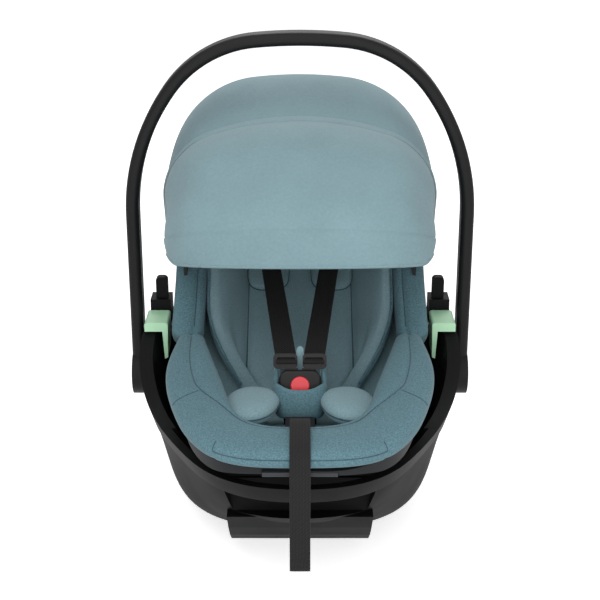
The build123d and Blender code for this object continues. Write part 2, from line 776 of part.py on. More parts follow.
with BuildPart() as crotch_pad:
    with BuildSketch(CUP):
        RectangleRounded(63, 58, 18)
        RectangleRounded(51, 46, 13, mode=Mode.SUBTRACT)
    extrude(amount=70)
    with BuildSketch(Plane(CUP.origin, x_dir=CUP.y_dir, z_dir=(1, 0, 0))):
        with BuildLine():
            Spline(*CUP_EDGE)
            Polyline(CUP_EDGE[-1], (34, 90), (-34, 90), CUP_EDGE[0])
        make_face()
    extrude(amount=60, both=True, mode=Mode.SUBTRACT)

with BuildPart() as thigh_cushion_right:
    with BuildSketch(tilted((59, -155, 179), -8)):
        Ellipse(26, 46, rotation=0)
    extrude(amount=25)
    crown = thigh_cushion_right.faces().sort_by(Axis.Z)[-1]
    fillet(crown.edges(), 10)

with BuildPart() as thigh_cushion_left:
    mirror(thigh_cushion_right.part, about=Plane.YZ)

# Harness straps, yoke and adjuster

def back_point(x, along, out):
    """Point given across, along and out of the back."""
    return BACK.from_local_coords(Vector(x, along, out))


def strap_slice(point, direction):
    """Flat strap section at a point, square to a direction in the side view."""
    with BuildSketch(Plane(point, x_dir=(1, 0, 0), z_dir=direction)) as section:
        Rectangle(STRAP_WIDE, STRAP_THICK)
    return section.sketch


TONGUE_SLOT = BUCKLE.from_local_coords(Vector(16, 30, -9.4))
STRAP_BEND = back_point(STRAP_X, 221, 34)
STRAP_RUN = TONGUE_SLOT - STRAP_BEND

with BuildPart() as shoulder_strap_right:
    loft(
        sections=[
            strap_slice(back_point(STRAP_X, SLOT_ALONG, -43), BACK.z_dir),
            strap_slice(back_point(STRAP_X, SLOT_ALONG, 22), BACK.z_dir),
            strap_slice(STRAP_BEND, (0, STRAP_RUN.Y, 6)),
            strap_slice(TONGUE_SLOT, (0, STRAP_RUN.Y, STRAP_RUN.Z)),
        ],
        ruled=True,
    )
    add(tongue_right.part, mode=Mode.SUBTRACT)

with BuildPart() as shoulder_strap_left:
    mirror(shoulder_strap_right.part, about=Plane.YZ)

REAR_OUT = -46.5

with BuildPart() as rear_straps:
    with BuildSketch(BACK.offset(REAR_OUT)):
        with Locations((-STRAP_X, 157), (STRAP_X, 157)):
            Rectangle(STRAP_WIDE, 152)
    extrude(amount=STRAP_THICK)

with BuildPart() as harness_yoke:
    with BuildSketch(BACK.offset(REAR_OUT - 3)):
        with Locations((0, 84)):
            RectangleRounded(124, 24, 6)
    extrude(amount=3)

with BuildPart() as adjuster_web:
    with BuildSketch(Plane.YZ):
        with BuildLine():
            web = FilletPolyline((88, 100), (10, 54), (-60, 66), (-172, 112), (-176, 148), radius=6)
        trace(web, STRAP_THICK)
    extrude(amount=TAIL_WIDE / 2, both=True)
    add(harness_yoke.part, mode=Mode.SUBTRACT)

with BuildPart() as adjuster_body:
    with Locations(ADJUSTER_PLACE):
        Box(ADJUSTER_BOX[0] - 1, ADJUSTER_BOX[1] - 1, ADJUSTER_BOX[2] - 1)
    with Locations((0, -176, 178)):
        Box(18.6, 14.6, 12, mode=Mode.SUBTRACT)
    add(adjuster_web.part, mode=Mode.SUBTRACT)

with BuildPart() as adjuster_button:
    with Locations((0, -176, 176.5)):
        Box(18, 14, 5)
    fillet(adjuster_button.edges().group_by(Axis.Z)[-1], 1)

TAIL_POINTS = [
    (-186, 180.5),
    (-204, 187),
    (-226, 203),
    (-246, 218),
    (-272, 224.5),
    (-300, 223.5),
    (-319, 217.5),
    (-327.5, 203),
    (-328.5, 178),
    (-327.5, 130),
    (-327, 81),
]

with BuildPart() as adjuster_strap:
    with BuildSketch(Plane.YZ):
        with BuildLine():
            tail = FilletPolyline(*TAIL_POINTS, radius=11)
        trace(tail, STRAP_THICK)
    extrude(amount=TAIL_WIDE / 2, both=True)

# Canopy

FRONT_BOW = (153.5, 192.0, 326.0, 76.0)
MID_BOW = (161.5, 171.5, 320.0, 83.0)
BRACKET_IN = 143.0
BOW_PIN_RADIUS = 3.0


def bow(angle, shape):
    """Flat canopy bow with a round eye on the pivot at each end."""
    half_width = shape[0]
    with BuildPart() as strip:
        extrude(arch_face(angle, *shape, BOW_THICK, 0.0), amount=BOW_WIDE / 2, both=True)
        for start in (half_width - BOW_THICK, -half_width):
            with BuildSketch(SIDE_CANOPY.offset(start)):
                Circle(8)
            extrude(amount=BOW_THICK)
        with BuildSketch(SIDE_CANOPY.offset(-half_width - 1)):
            Circle(BOW_PIN_RADIUS + PIN_PLAY)
        extrude(amount=2 * half_width + 2, mode=Mode.SUBTRACT)
    return strip.part


with BuildPart() as canopy_front_bow:
    add(bow(FRONT_BOW_ANGLE, FRONT_BOW))

with BuildPart() as canopy_mid_bow:
    add(bow(MID_BOW_ANGLE, MID_BOW))

with BuildPart() as canopy_front_panel:
    loft(sections=[arch_face(*arch, CANOPY_THICK, CANOPY_ROOT) for arch in CANOPY_FRONT])

with BuildPart() as canopy_rear_panel:
    loft(sections=[arch_face(*arch, CANOPY_THICK, CANOPY_ROOT) for arch in CANOPY_REAR])
    add(head_pad.part, mode=Mode.SUBTRACT)

with BuildPart() as canopy_bracket_right:
    with BuildSketch(SIDE_CANOPY.offset(BRACKET_IN)):
        Circle(10)
        with Locations((0, -19)):
            Rectangle(16, 38)
    extrude(amount=4)
    with BuildSketch(SIDE_CANOPY.offset(BRACKET_IN + 4)):
        Circle(BOW_PIN_RADIUS)
    extrude(amount=MID_BOW[0] - BRACKET_IN - 3.7)
    with BuildSketch(SIDE_CANOPY.offset(MID_BOW[0] + 0.3)):
        Circle(5)
    extrude(amount=1.7)

with BuildPart() as canopy_bracket_left:
    mirror(canopy_bracket_right.part, about=Plane.YZ)

with BuildPart() as head_surround:
    add(head_pad.part)
    add(canopy_bracket_right.part, mode=Mode.SUBTRACT)
    add(canopy_bracket_left.part, mode=Mode.SUBTRACT)

# Each piece is written to its own STEP file

PIECES = {
    "carrier_shell": carrier_shell,
    "rocker_foot": rocker_foot,
    "foot_screws": foot_screws,
    "latch_bars": latch_bars,
    "front_band": front_band,
    "side_arm_left": side_arm_left,
    "side_arm_right": side_arm_right,
    "shoulder_belt_guide": shoulder_belt_guide,
    "belt_guide_left": belt_guide_left,
    "belt_guide_right": belt_guide_right,
    "belt_hook_left": belt_hook_left,
    "belt_hook_right": belt_hook_right,
    "tilt_pin_left": tilt_pin_left,
    "tilt_pin_right": tilt_pin_right,
    "handle_pin_left": handle_pin_left,
    "handle_pin_right": handle_pin_right,
    "handle_bar": handle_bar,
    "handle_liner": handle_liner,
    "button_spring_left": button_spring_left,
    "button_spring_right": button_spring_right,
    "handle_button_left": handle_button_left,
    "handle_button_right": handle_button_right,
    "seat_bucket": seat_bucket,
    "foam_liner": foam_liner,
    "inner_cover": inner_cover,
    "recline_lever": recline_lever,
    "rim_cover": rim_cover,
    "head_surround": head_surround,
    "headrest_pad": headrest_pad,
    "headrest_shell": headrest_shell,
    "shoulder_pad_left": shoulder_pad_left,
    "shoulder_pad_right": shoulder_pad_right,
    "buckle_body": buckle_body,
    "buckle_button": buckle_button,
    "buckle_spring": buckle_spring,
    "tongue_left": tongue_left,
    "tongue_right": tongue_right,
    "crotch_strap": crotch_strap,
    "crotch_anchor": crotch_anchor,
    "crotch_pad": crotch_pad,
    "thigh_cushion_left": thigh_cushion_left,
    "thigh_cushion_right": thigh_cushion_right,
    "shoulder_strap_left": shoulder_strap_left,
    "shoulder_strap_right": shoulder_strap_right,
    "rear_straps": rear_straps,
    "harness_yoke": harness_yoke,
    "adjuster_web": adjuster_web,
    "adjuster_body": adjuster_body,
    "adjuster_button": adjuster_button,
    "adjuster_strap": adjuster_strap,
    "canopy_front_bow": canopy_front_bow,
    "canopy_mid_bow": canopy_mid_bow,
    "canopy_front_panel": canopy_front_panel,
    "canopy_rear_panel": canopy_rear_panel,
    "canopy_bracket_left": canopy_bracket_left,
    "canopy_bracket_right": canopy_bracket_right,
}

for name, piece in PIECES.items():
    piece.part.label = name
    export_step(piece.part, f"parts/{name}.step")
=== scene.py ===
"""Infant car seat: fabrics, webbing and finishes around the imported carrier.

Sizes are millimetres in the dataclasses and metres in Blender. +Z is up and +Y is the head end.
"""

import logging
import math
from dataclasses import dataclass
from enum import Enum
from typing import Any, Optional, Sequence

import bpy
import bmesh
import numpy as np
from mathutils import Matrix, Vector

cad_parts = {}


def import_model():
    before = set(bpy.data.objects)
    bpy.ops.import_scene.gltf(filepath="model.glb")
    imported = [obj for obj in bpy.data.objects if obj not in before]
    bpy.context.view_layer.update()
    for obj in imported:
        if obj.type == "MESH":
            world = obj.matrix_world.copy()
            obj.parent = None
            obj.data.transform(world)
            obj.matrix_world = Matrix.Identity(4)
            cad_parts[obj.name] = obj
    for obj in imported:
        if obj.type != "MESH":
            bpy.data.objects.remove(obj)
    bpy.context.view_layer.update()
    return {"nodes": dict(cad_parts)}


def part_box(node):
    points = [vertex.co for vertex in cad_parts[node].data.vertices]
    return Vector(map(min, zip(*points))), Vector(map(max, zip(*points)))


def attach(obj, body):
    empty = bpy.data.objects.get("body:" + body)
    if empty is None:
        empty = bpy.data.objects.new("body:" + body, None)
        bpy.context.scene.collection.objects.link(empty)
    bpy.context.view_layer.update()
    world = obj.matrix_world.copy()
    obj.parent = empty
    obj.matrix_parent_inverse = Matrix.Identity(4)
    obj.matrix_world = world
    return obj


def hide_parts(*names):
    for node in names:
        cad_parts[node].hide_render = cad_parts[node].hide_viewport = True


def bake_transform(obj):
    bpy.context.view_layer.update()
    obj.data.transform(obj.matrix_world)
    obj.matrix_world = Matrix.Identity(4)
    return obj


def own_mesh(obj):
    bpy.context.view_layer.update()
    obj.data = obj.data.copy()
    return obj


LOG = logging.getLogger("infant_seat")
MM = 0.001
TURN = 2.0 * math.pi
QUARTER = 0.5 * math.pi
SIDES = (("left", -1.0), ("right", 1.0))
COORDINATES = "ShaderNodeTexCoord"
NOISE, VORONOI, WAVE = "ShaderNodeTexNoise", "ShaderNodeTexVoronoi", "ShaderNodeTexWave"
MIX, MATH, RANGE, BUMP = "ShaderNodeMix", "ShaderNodeMath", "ShaderNodeMapRange", "ShaderNodeBump"


# Colour and node helpers


def linear(hex_colour: str) -> tuple[float, float, float, float]:
    """Turn an sRGB hex colour into linear RGBA.

    Args:
        hex_colour: Six hex digits, with or without a hash sign.

    Returns:
        Linear red, green, blue and an alpha of 1.
    """
    digits = hex_colour.lstrip("#")
    srgb = np.array([int(digits[i : i + 2], 16) for i in (0, 2, 4)]) / 255.0
    rgb = np.where(srgb <= 0.04045, srgb / 12.92, ((srgb + 0.055) / 1.055) ** 2.4)
    return (*rgb.tolist(), 1.0)


def shade(hex_colour: str, factor: float) -> list[float]:
    """Linear RGBA of an sRGB hex colour made darker or lighter by a factor."""
    return [min(factor * c, 1.0) for c in linear(hex_colour)[:3]] + [1.0]


def wire(tree: bpy.types.NodeTree, node: bpy.types.Node, wires: dict) -> bpy.types.Node:
    """Feed a node's inputs.

    Args:
        tree: Node tree that holds the node.
        node: Node to feed.
        wires: Input name or number against a value or a socket to link.

    Returns:
        The node.
    """
    for key, value in wires.items():
        if isinstance(value, bpy.types.NodeSocket):
            tree.links.new(value, node.inputs[key])
        else:
            node.inputs[key].default_value = value
    return node


def add_node(tree: bpy.types.NodeTree, kind: str, wires: Optional[dict] = None, **settings: Any) -> bpy.types.Node:
    """Add a node, set its properties and feed its inputs.

    Args:
        tree: Node tree that takes the node.
        kind: Blender's node type name.
        wires: Input name or number against a value or a socket to link.
        **settings: Properties of the node itself.

    Returns:
        The new node.
    """
    node = tree.nodes.new(kind)
    for key, value in settings.items():
        setattr(node, key, value)
    return wire(tree, node, wires or {})


def new_material(name: str) -> tuple[bpy.types.Material, bpy.types.NodeTree, bpy.types.Node]:
    """Start a material with an empty principled shader.

    Args:
        name: Name of the material.

    Returns:
        The material, its node tree and its shader node.
    """
    material = bpy.data.materials.new(name)
    material.use_nodes = True
    tree = material.node_tree
    tree.nodes.clear()
    shader = add_node(tree, "ShaderNodeBsdfPrincipled")
    add_node(tree, "ShaderNodeOutputMaterial", {"Surface": shader.outputs[0]})
    return material, tree, shader


def per_metre(size_mm: float) -> float:
    """Texture scale whose feature has a size in millimetres on coordinates in metres."""
    return 1.0 / (size_mm * MM)


def wave_scale(size_mm: float) -> float:
    """Scale of a wave texture whose bands are a size in millimetres apart."""
    return per_metre(size_mm) * math.pi / 10.0


# Finishes


@dataclass(frozen=True)
class MouldedPlastic:
    """Injection-moulded polypropylene or ABS with a spark-eroded grain that breaks up the gloss."""

    name: str
    colour: str
    roughness: float = 0.5
    grain_mm: float = 1.4
    grain_depth_mm: float = 0.05
    specular: float = 0.5
    cloud_mm: float = 45.0
    ior: float = 1.49

    def build(self) -> bpy.types.Material:
        """Lay a cloudy tint and gloss over a fine grain.

        Returns:
            The plastic's material.
        """
        material, tree, shader = new_material(self.name)
        place = add_node(tree, COORDINATES).outputs["Object"]
        cloud = add_node(tree, NOISE, {"Vector": place, "Scale": per_metre(self.cloud_mm), "Detail": 3.0}).outputs[0]
        tones = {0: cloud, 6: shade(self.colour, 0.86), 7: shade(self.colour, 1.14)}
        gloss = {0: cloud, 3: self.roughness - 0.06, 4: self.roughness + 0.08}
        grain = add_node(tree, NOISE, {"Vector": place, "Scale": per_metre(self.grain_mm), "Detail": 2.0})
        relief = {"Height": grain.outputs[0], "Distance": self.grain_depth_mm * MM, "Strength": 0.6}
        faces = {
            "Base Color": add_node(tree, MIX, tones, data_type="RGBA").outputs[2],
            "Roughness": add_node(tree, RANGE, gloss).outputs[0],
            "Normal": add_node(tree, BUMP, relief).outputs[0],
        }
        wire(tree, shader, {**faces, "IOR": self.ior, "Specular IOR Level": self.specular})
        return material


@dataclass(frozen=True)
class MelangeKnit:
    """Soft polyester knit of mixed yarns: flecks of two tones, a matt face and a little sheen.

    The real stitch is about 0.8 mm, too fine for the render, so flecks are drawn coarser.
    """

    name: str
    ground: str
    dark: str
    light: str
    fleck_mm: float = 2.4
    stitch_mm: float = 1.7
    depth_mm: float = 0.35
    wear_mm: float = 60.0

    def build(self) -> bpy.types.Material:
        """Mix flecks of yarn with faint wear, and raise the stitches.

        Returns:
            The knit's material.
        """
        material, tree, shader = new_material(self.name)
        place = add_node(tree, COORDINATES).outputs["Object"]
        yarn = {"Vector": place, "Scale": per_metre(self.fleck_mm), "Detail": 4.0, "Roughness": 0.7}
        ramp = add_node(tree, "ShaderNodeValToRGB", {0: add_node(tree, NOISE, yarn).outputs[0]})
        stops = ramp.color_ramp.elements
        stops[0].position, stops[0].color = 0.34, linear(self.dark)
        stops[1].position, stops[1].color = 0.66, linear(self.light)
        stops.new(0.5).color = linear(self.ground)
        wear = add_node(tree, NOISE, {"Vector": place, "Scale": per_metre(self.wear_mm), "Detail": 2.0})
        worn = add_node(tree, RANGE, {0: wear.outputs[0], 3: 0.92, 4: 1.08})
        tones = {0: 1.0, 6: ramp.outputs[0], 7: worn.outputs[0]}
        stitch = add_node(tree, VORONOI, {"Vector": place, "Scale": per_metre(self.stitch_mm)})
        relief = {"Height": stitch.outputs["Distance"], "Distance": self.depth_mm * MM, "Strength": 0.55}
        faces = {
            "Base Color": add_node(tree, MIX, tones, data_type="RGBA", blend_type="MULTIPLY").outputs[2],
            "Normal": add_node(tree, BUMP, relief, invert=True).outputs[0],
        }
        wire(tree, shader, {**faces, "Roughness": 0.92, "Sheen Weight": 0.12, "Specular IOR Level": 0.2})
        return material


@dataclass(frozen=True)
class PlainWeave:
    """Tightly woven polyester canopy cloth: an even tone, crossing threads and a soft sheen.

    The real thread is about 0.4 mm, too fine for the render, so it is drawn coarser.
    """

    name: str
    colour: str
    thread_mm: float = 1.5
    depth_mm: float = 0.12
    cloud_mm: float = 70.0
    slub_mm: float = 3.0

    def build(self) -> bpy.types.Material:
        """Cross two sets of threads that follow the sheet's own map.

        Returns:
            The cloth's material.
        """
        material, tree, shader = new_material(self.name)
        coordinates = add_node(tree, COORDINATES)
        place, chart = coordinates.outputs["Object"], coordinates.outputs["UV"]
        threads = {"Vector": chart, "Scale": wave_scale(self.thread_mm), "Distortion": 0.4}
        warp, weft = (add_node(tree, WAVE, threads, bands_direction=axis).outputs[1] for axis in ("X", "Y"))
        weave = add_node(tree, MATH, {0: warp, 1: weft}, operation="ADD")
        cloud = add_node(tree, NOISE, {"Vector": place, "Scale": per_metre(self.cloud_mm), "Detail": 2.0})
        slub = add_node(tree, NOISE, {"Vector": place, "Scale": per_metre(self.slub_mm), "Detail": 3.0})
        mixed = add_node(tree, MATH, {0: cloud.outputs[0], 1: slub.outputs[0]}, operation="ADD")
        share = add_node(tree, RANGE, {0: mixed.outputs[0], 1: 0.6, 2: 1.4})
        tones = {0: share.outputs[0], 6: shade(self.colour, 0.9), 7: shade(self.colour, 1.1)}
        relief = {"Height": weave.outputs[0], "Distance": self.depth_mm * MM, "Strength": 0.4}
        faces = {
            "Base Color": add_node(tree, MIX, tones, data_type="RGBA").outputs[2],
            "Normal": add_node(tree, BUMP, relief).outputs[0],
        }
        wire(tree, shader, {**faces, "Roughness": 0.8, "Sheen Weight": 0.15, "Specular IOR Level": 0.3})
        return material


@dataclass(frozen=True)
class RibbedWebbing:
    """Woven polyester seat webbing: ribs along the strap, herringbone across them, a dull gloss."""

    name: str
    colour: str
    rib_mm: float = 3.2
    twill_mm: float = 2.0
    depth_mm: float = 0.3

    def build(self) -> bpy.types.Material:
        """Run ribs and twill along the strap's own map, with painted shade in their valleys and a painted highlight
        on their crests.

        Returns:
            The webbing's material.
        """
        material, tree, shader = new_material(self.name)
        chart = add_node(tree, COORDINATES).outputs["UV"]
        lines = {"Vector": chart, "Scale": wave_scale(self.rib_mm)}
        slant = {"Vector": chart, "Scale": wave_scale(self.twill_mm), "Distortion": 1.0}
        ribs = add_node(tree, WAVE, lines, bands_direction="Y").outputs[1]
        twill = add_node(tree, WAVE, slant, bands_direction="DIAGONAL").outputs[1]
        height = add_node(tree, MATH, {0: ribs, 1: twill}, operation="ADD").outputs[0]
        # Colour follows the weave's height: painted shade in the valleys, painted highlight on the crests.
        share = add_node(tree, RANGE, {0: height, 1: 0.0, 2: 2.0})
        tones = {0: share.outputs[0], 6: shade(self.colour, 0.7), 7: shade(self.colour, 1.35)}
        relief = {"Height": height, "Distance": self.depth_mm * MM, "Strength": 0.7}
        faces = {
            "Base Color": add_node(tree, MIX, tones, data_type="RGBA").outputs[2],
            "Normal": add_node(tree, BUMP, relief).outputs[0],
        }
        wire(tree, shader, {**faces, "Roughness": 0.7, "Specular IOR Level": 0.18, "Sheen Weight": 0.05})
        return material


@dataclass(frozen=True)
class PlatedSteel:
    """Zinc-plated steel, drawn or stamped: bright, with a fine uneven gloss."""

    name: str
    colour: str = "#B9BCC0"
    mark_mm: float = 0.9
    depth_mm: float = 0.02

    def build(self) -> bpy.types.Material:
        """Break up plain metal with fine drawing marks.

        Returns:
            The steel's material.
        """
        material, tree, shader = new_material(self.name)
        place = add_node(tree, COORDINATES).outputs["Object"]
        marks = add_node(tree, NOISE, {"Vector": place, "Scale": per_metre(self.mark_mm), "Detail": 3.0}).outputs[0]
        relief = {"Height": marks, "Distance": self.depth_mm * MM, "Strength": 0.4}
        faces = {
            "Roughness": add_node(tree, RANGE, {0: marks, 3: 0.24, 4: 0.42}).outputs[0],
            "Normal": add_node(tree, BUMP, relief).outputs[0],
        }
        wire(tree, shader, {**faces, "Base Color": linear(self.colour), "Metallic": 1.0})
        return material


@dataclass(frozen=True)
class BeadFoam:
    """Steam-moulded polypropylene bead foam: round beads pressed together, matt."""

    name: str
    colour: str = "#4A4C4E"
    bead_mm: float = 4.0
    depth_mm: float = 0.4

    def build(self) -> bpy.types.Material:
        """Draw beads that are lower at their edges, with painted shade at their edges and lighter crowns.

        Returns:
            The foam's material.
        """
        material, tree, shader = new_material(self.name)
        place = add_node(tree, COORDINATES).outputs["Object"]
        beads = add_node(tree, VORONOI, {"Vector": place, "Scale": per_metre(self.bead_mm)}).outputs[0]
        # Lighter bead crowns and darker bead edges: painted light and shade of the beads' rounding.
        tones = {0: beads, 6: shade(self.colour, 1.25), 7: linear(self.colour)}
        relief = {"Height": beads, "Distance": self.depth_mm * MM, "Strength": 0.6}
        faces = {
            "Base Color": add_node(tree, MIX, tones, data_type="RGBA").outputs[2],
            "Normal": add_node(tree, BUMP, relief, invert=True).outputs[0],
        }
        wire(tree, shader, {**faces, "Roughness": 0.85})
        return material


class Slot(Enum):
    """The record's material slots."""

    SHELL_BLACK = "shell_black"
    BAND_BLACK = "band_black"
    HANDLE_BLACK = "handle_black"
    GREY_PLASTIC = "grey_plastic"
    LEVER_GREY = "lever_grey"
    GREEN_PLASTIC = "green_plastic"
    RED_PLASTIC = "red_plastic"
    BUCKLE_BLACK = "buckle_black"
    STEEL = "steel"
    FOAM = "foam"
    COVER_DARK = "cover_dark"
    COVER_LIGHT = "cover_light"
    CANOPY_FABRIC = "canopy_fabric"
    WEBBING = "webbing"


FINISHES = {
    Slot.SHELL_BLACK: MouldedPlastic("moulded_black_polypropylene", "#0F0F10", 0.6, specular=0.07),
    Slot.BAND_BLACK: MouldedPlastic("satin_black_polypropylene", "#0E0E0F", 0.55, 1.2, 0.03, 0.1),
    Slot.HANDLE_BLACK: MouldedPlastic("handle_black_polyamide", "#101011", 0.5, 1.2, 0.04, 0.18),
    Slot.GREY_PLASTIC: MouldedPlastic("dark_grey_polypropylene", "#242527", 0.55, specular=0.16),
    Slot.LEVER_GREY: MouldedPlastic("lever_grey_abs", "#36383B", 0.48, specular=0.24),
    Slot.GREEN_PLASTIC: MouldedPlastic("mint_green_abs", "#B6E4BE", 0.42, 1.0, 0.02),
    Slot.RED_PLASTIC: MouldedPlastic("red_abs", "#E2353F", 0.36, 0.9, 0.02),
    Slot.BUCKLE_BLACK: MouldedPlastic("buckle_black_polyamide", "#101011", 0.5, 1.0, 0.03, 0.28),
    Slot.STEEL: PlatedSteel("zinc_plated_steel"),
    Slot.FOAM: BeadFoam("bead_foam"),
    Slot.COVER_DARK: MelangeKnit("teal_melange_knit", "#5B7C86", "#4D6B75", "#6A8C96", 1.7),
    Slot.COVER_LIGHT: MelangeKnit("light_teal_knit", "#87A5AD", "#7B98A0", "#93B0B7", 1.5, 1.5, 0.25),
    Slot.CANOPY_FABRIC: PlainWeave("teal_canopy_weave", "#7C979E"),
    Slot.WEBBING: RibbedWebbing("black_webbing", "#1B1A1A"),
}
# Darker knits for seam, crease and stitching lines: painted shade along the seams.
SEAM_SHADE = MelangeKnit("seam_shadow_knit", "#435C66", "#3B535C", "#4C6670")
CANOPY_STITCHING_SHADE = MelangeKnit("canopy_stitching_shade", "#607A82", "#58717A", "#67828A")
MATERIALS: dict[Slot, bpy.types.Material] = {}
SEAM_SHADES: dict[Slot, bpy.types.Material] = {}


# Curves and surfaces


def run(points: np.ndarray) -> np.ndarray:
    """Length along a line at each of its points."""
    return np.concatenate(([0.0], np.cumsum(np.linalg.norm(np.diff(points, axis=0), axis=1))))


def through(points: Sequence[Sequence[float]], count: int) -> np.ndarray:
    """Natural cubic spline through points by chord length, sampled evenly.

    Args:
        points: Points in any number of dimensions.
        count: Number of samples.

    Returns:
        Array of samples by dimensions.
    """
    p = np.asarray(points, float)
    t = run(p)
    return spline_at(t, p, np.linspace(0.0, t[-1], count))


def table_at(table: Sequence[Sequence[float]], at: np.ndarray) -> np.ndarray:
    """Spline through a table that starts each row with its place, read at other places."""
    values = np.asarray(table, float)
    return spline_at(values[:, 0], values[:, 1:], at)


def spline_at(t: np.ndarray, p: np.ndarray, at: np.ndarray) -> np.ndarray:
    """Natural cubic spline with values p at knots t, read at other parameters.

    Args:
        t: Rising knots.
        p: Values at the knots, one row each.
        at: Parameters to read.

    Returns:
        Array of values, one row per parameter.
    """
    n = len(t)
    h = np.diff(t)
    inner = np.arange(1, n - 1)
    system = np.eye(n)
    system[inner, inner - 1] = h[inner - 1]
    system[inner, inner] = 2.0 * (h[inner - 1] + h[inner])
    system[inner, inner + 1] = h[inner]
    slope = np.diff(p, axis=0) / h[:, None]
    right = np.zeros_like(p)
    right[inner] = 6.0 * np.diff(slope, axis=0)
    second = np.linalg.solve(system, right)
    j = np.clip(np.searchsorted(t, at) - 1, 0, n - 2)
    a = ((t[j + 1] - at) / h[j])[:, None]
    b = 1.0 - a
    step = (h[j] ** 2 / 6.0)[:, None]
    return a * p[j] + b * p[j + 1] + ((a**3 - a) * second[j] + (b**3 - b) * second[j + 1]) * step


def smooth_line(points: np.ndarray, count: int) -> np.ndarray:
    """Open quadratic B-spline with the points as its controls and their ends kept.

    Args:
        points: Control points, one row each.
        count: Number of samples.

    Returns:
        Samples along the line, evenly spaced.
    """
    middle = 0.5 * (points[:-1] + points[1:])
    knots = np.concatenate([points[:1], middle[1:-1], points[-1:]])
    s = np.linspace(0.0, 1.0, 24, endpoint=False)[None, :, None]
    start, control, end = knots[:-1, None], points[1:-1, None], knots[1:, None]
    dense = ((1 - s) ** 2 * start + 2 * s * (1 - s) * control + s**2 * end).reshape(-1, 3)
    dense = np.concatenate([dense, points[-1:]])
    reach = run(dense)
    at = np.linspace(0.0, reach[-1], count)
    return np.stack([np.interp(at, reach, dense[:, k]) for k in range(3)], axis=1)


def rounded_loop(controls: np.ndarray, per_span: int) -> np.ndarray:
    """Closed quadratic B-spline loops, one for each row of control points.

    Args:
        controls: Rows by control points by dimensions.
        per_span: Samples in each span of the loop.

    Returns:
        Rows by samples by dimensions.
    """
    s = np.linspace(0.0, 1.0, per_span, endpoint=False)[None, None, :, None]
    before = np.roll(controls, 1, axis=1)[:, :, None]
    after = np.roll(controls, -1, axis=1)[:, :, None]
    here = controls[:, :, None]
    loop = 0.5 * ((1 - s) ** 2 * before + (1 + 2 * s - 2 * s**2) * here + s**2 * after)
    return loop.reshape(controls.shape[0], -1, controls.shape[2])


def signed_power(value: np.ndarray, power: float) -> np.ndarray:
    """Power of the size of a value, with its sign kept."""
    return np.sign(value) * np.abs(value) ** power


def circle(count: int) -> np.ndarray:
    """Angles spaced evenly round a circle."""
    return np.linspace(0.0, TURN, count, endpoint=False)


def mirrored(points: np.ndarray, sign: float = -1.0) -> np.ndarray:
    """Points mirrored across the seat for a sign of -1, or as they are for 1."""
    return points * np.array([sign] + [1.0] * (points.shape[-1] - 1))


def on_plane(origin: Sequence[float], slope: float, local: np.ndarray) -> np.ndarray:
    """Points on a plane that climbs towards the head end, moved into the row frame.

    Args:
        origin: Plane's origin, in millimetres.
        slope: Climb of the plane's second axis, in degrees.
        local: Points as across, along and out of the plane.

    Returns:
        Points of the same shape in the row frame.
    """
    c, s = math.cos(math.radians(slope)), math.sin(math.radians(slope))
    axes = np.array([[1.0, 0.0, 0.0], [0.0, c, s], [0.0, -s, c]])
    return np.asarray(origin, float) + local @ axes


def groove(distance: np.ndarray, depth: float, width: float) -> np.ndarray:
    """Bell-shaped sewn groove at a distance from its seam, as a negative height."""
    return -depth * np.exp(-((distance / width) ** 2))


def lengths(grid: np.ndarray, axis: int) -> np.ndarray:
    """Length from the first point along one axis of a grid.

    Args:
        grid: Points in millimetres.
        axis: Axis of the grid to follow.

    Returns:
        Length at each point, in metres.
    """
    step = np.linalg.norm(np.diff(grid, axis=axis), axis=2)
    start = np.zeros_like(np.take(step, [0], axis=axis))
    return np.concatenate([start, np.cumsum(step, axis=axis)], axis=axis) * MM


def grid_object(
    name: str, grids: Sequence[np.ndarray], closed: bool = False, capped: bool = False
) -> bpy.types.Object:
    """Make one mesh object from grids of points, mapped by their own lengths.

    Args:
        name: Name of the piece.
        grids: Arrays of rows by columns by three, in millimetres.
        closed: Whether the last column joins the first.
        capped: Whether the first and last rows are closed by a face.

    Returns:
        The object, with outward faces, smooth shading and a map in metres.
    """
    points, faces, maps, start = [], [], [], 0
    for grid in grids:
        rows, cols = grid.shape[:2]
        wide = np.concatenate([grid, grid[:, :1]], axis=1) if closed else grid
        chart = np.stack([lengths(wide, 0), lengths(wide, 1)], axis=2)
        r, c = np.meshgrid(np.arange(rows - 1), np.arange(wide.shape[1] - 1), indexing="ij")
        corners = [(r, c), (r, c + 1), (r + 1, c + 1), (r + 1, c)]
        quads = np.stack([start + a * cols + b % cols for a, b in corners], axis=2).reshape(-1, 4)
        faces += quads.tolist()
        maps.append(np.stack([chart[a, b] for a, b in corners], axis=2).reshape(-1, 2))
        if capped:
            first, last = start, start + (rows - 1) * cols
            faces += [list(range(first, first + cols)), list(range(last, last + cols))]
            maps.append(np.concatenate([chart[0, :cols], chart[-1, :cols]]))
        points.append(grid.reshape(-1, 3) * MM)
        start += rows * cols
    mesh = bpy.data.meshes.new(name)
    mesh.from_pydata(np.concatenate(points).tolist(), [], faces)
    layer = mesh.uv_layers.new(name="weave")
    layer.data.foreach_set("uv", np.concatenate(maps).astype(np.float32).ravel())
    mesh.polygons.foreach_set("use_smooth", np.ones(len(mesh.polygons), bool))
    shell = bmesh.new()
    shell.from_mesh(mesh)
    bmesh.ops.recalc_face_normals(shell, faces=shell.faces)
    shell.to_mesh(mesh)
    shell.free()
    mesh.update()
    piece = bpy.data.objects.new(name, mesh)
    bpy.context.scene.collection.objects.link(piece)
    return piece


def bake_modifiers(piece: bpy.types.Object) -> bpy.types.Object:
    """Put the result of a piece's modifiers into its mesh.

    Args:
        piece: Object with live modifiers.

    Returns:
        The same object, with none.
    """
    graph = bpy.context.evaluated_depsgraph_get()
    result = bpy.data.meshes.new_from_object(piece.evaluated_get(graph), depsgraph=graph)
    piece.modifiers.clear()
    piece.data = result
    return piece


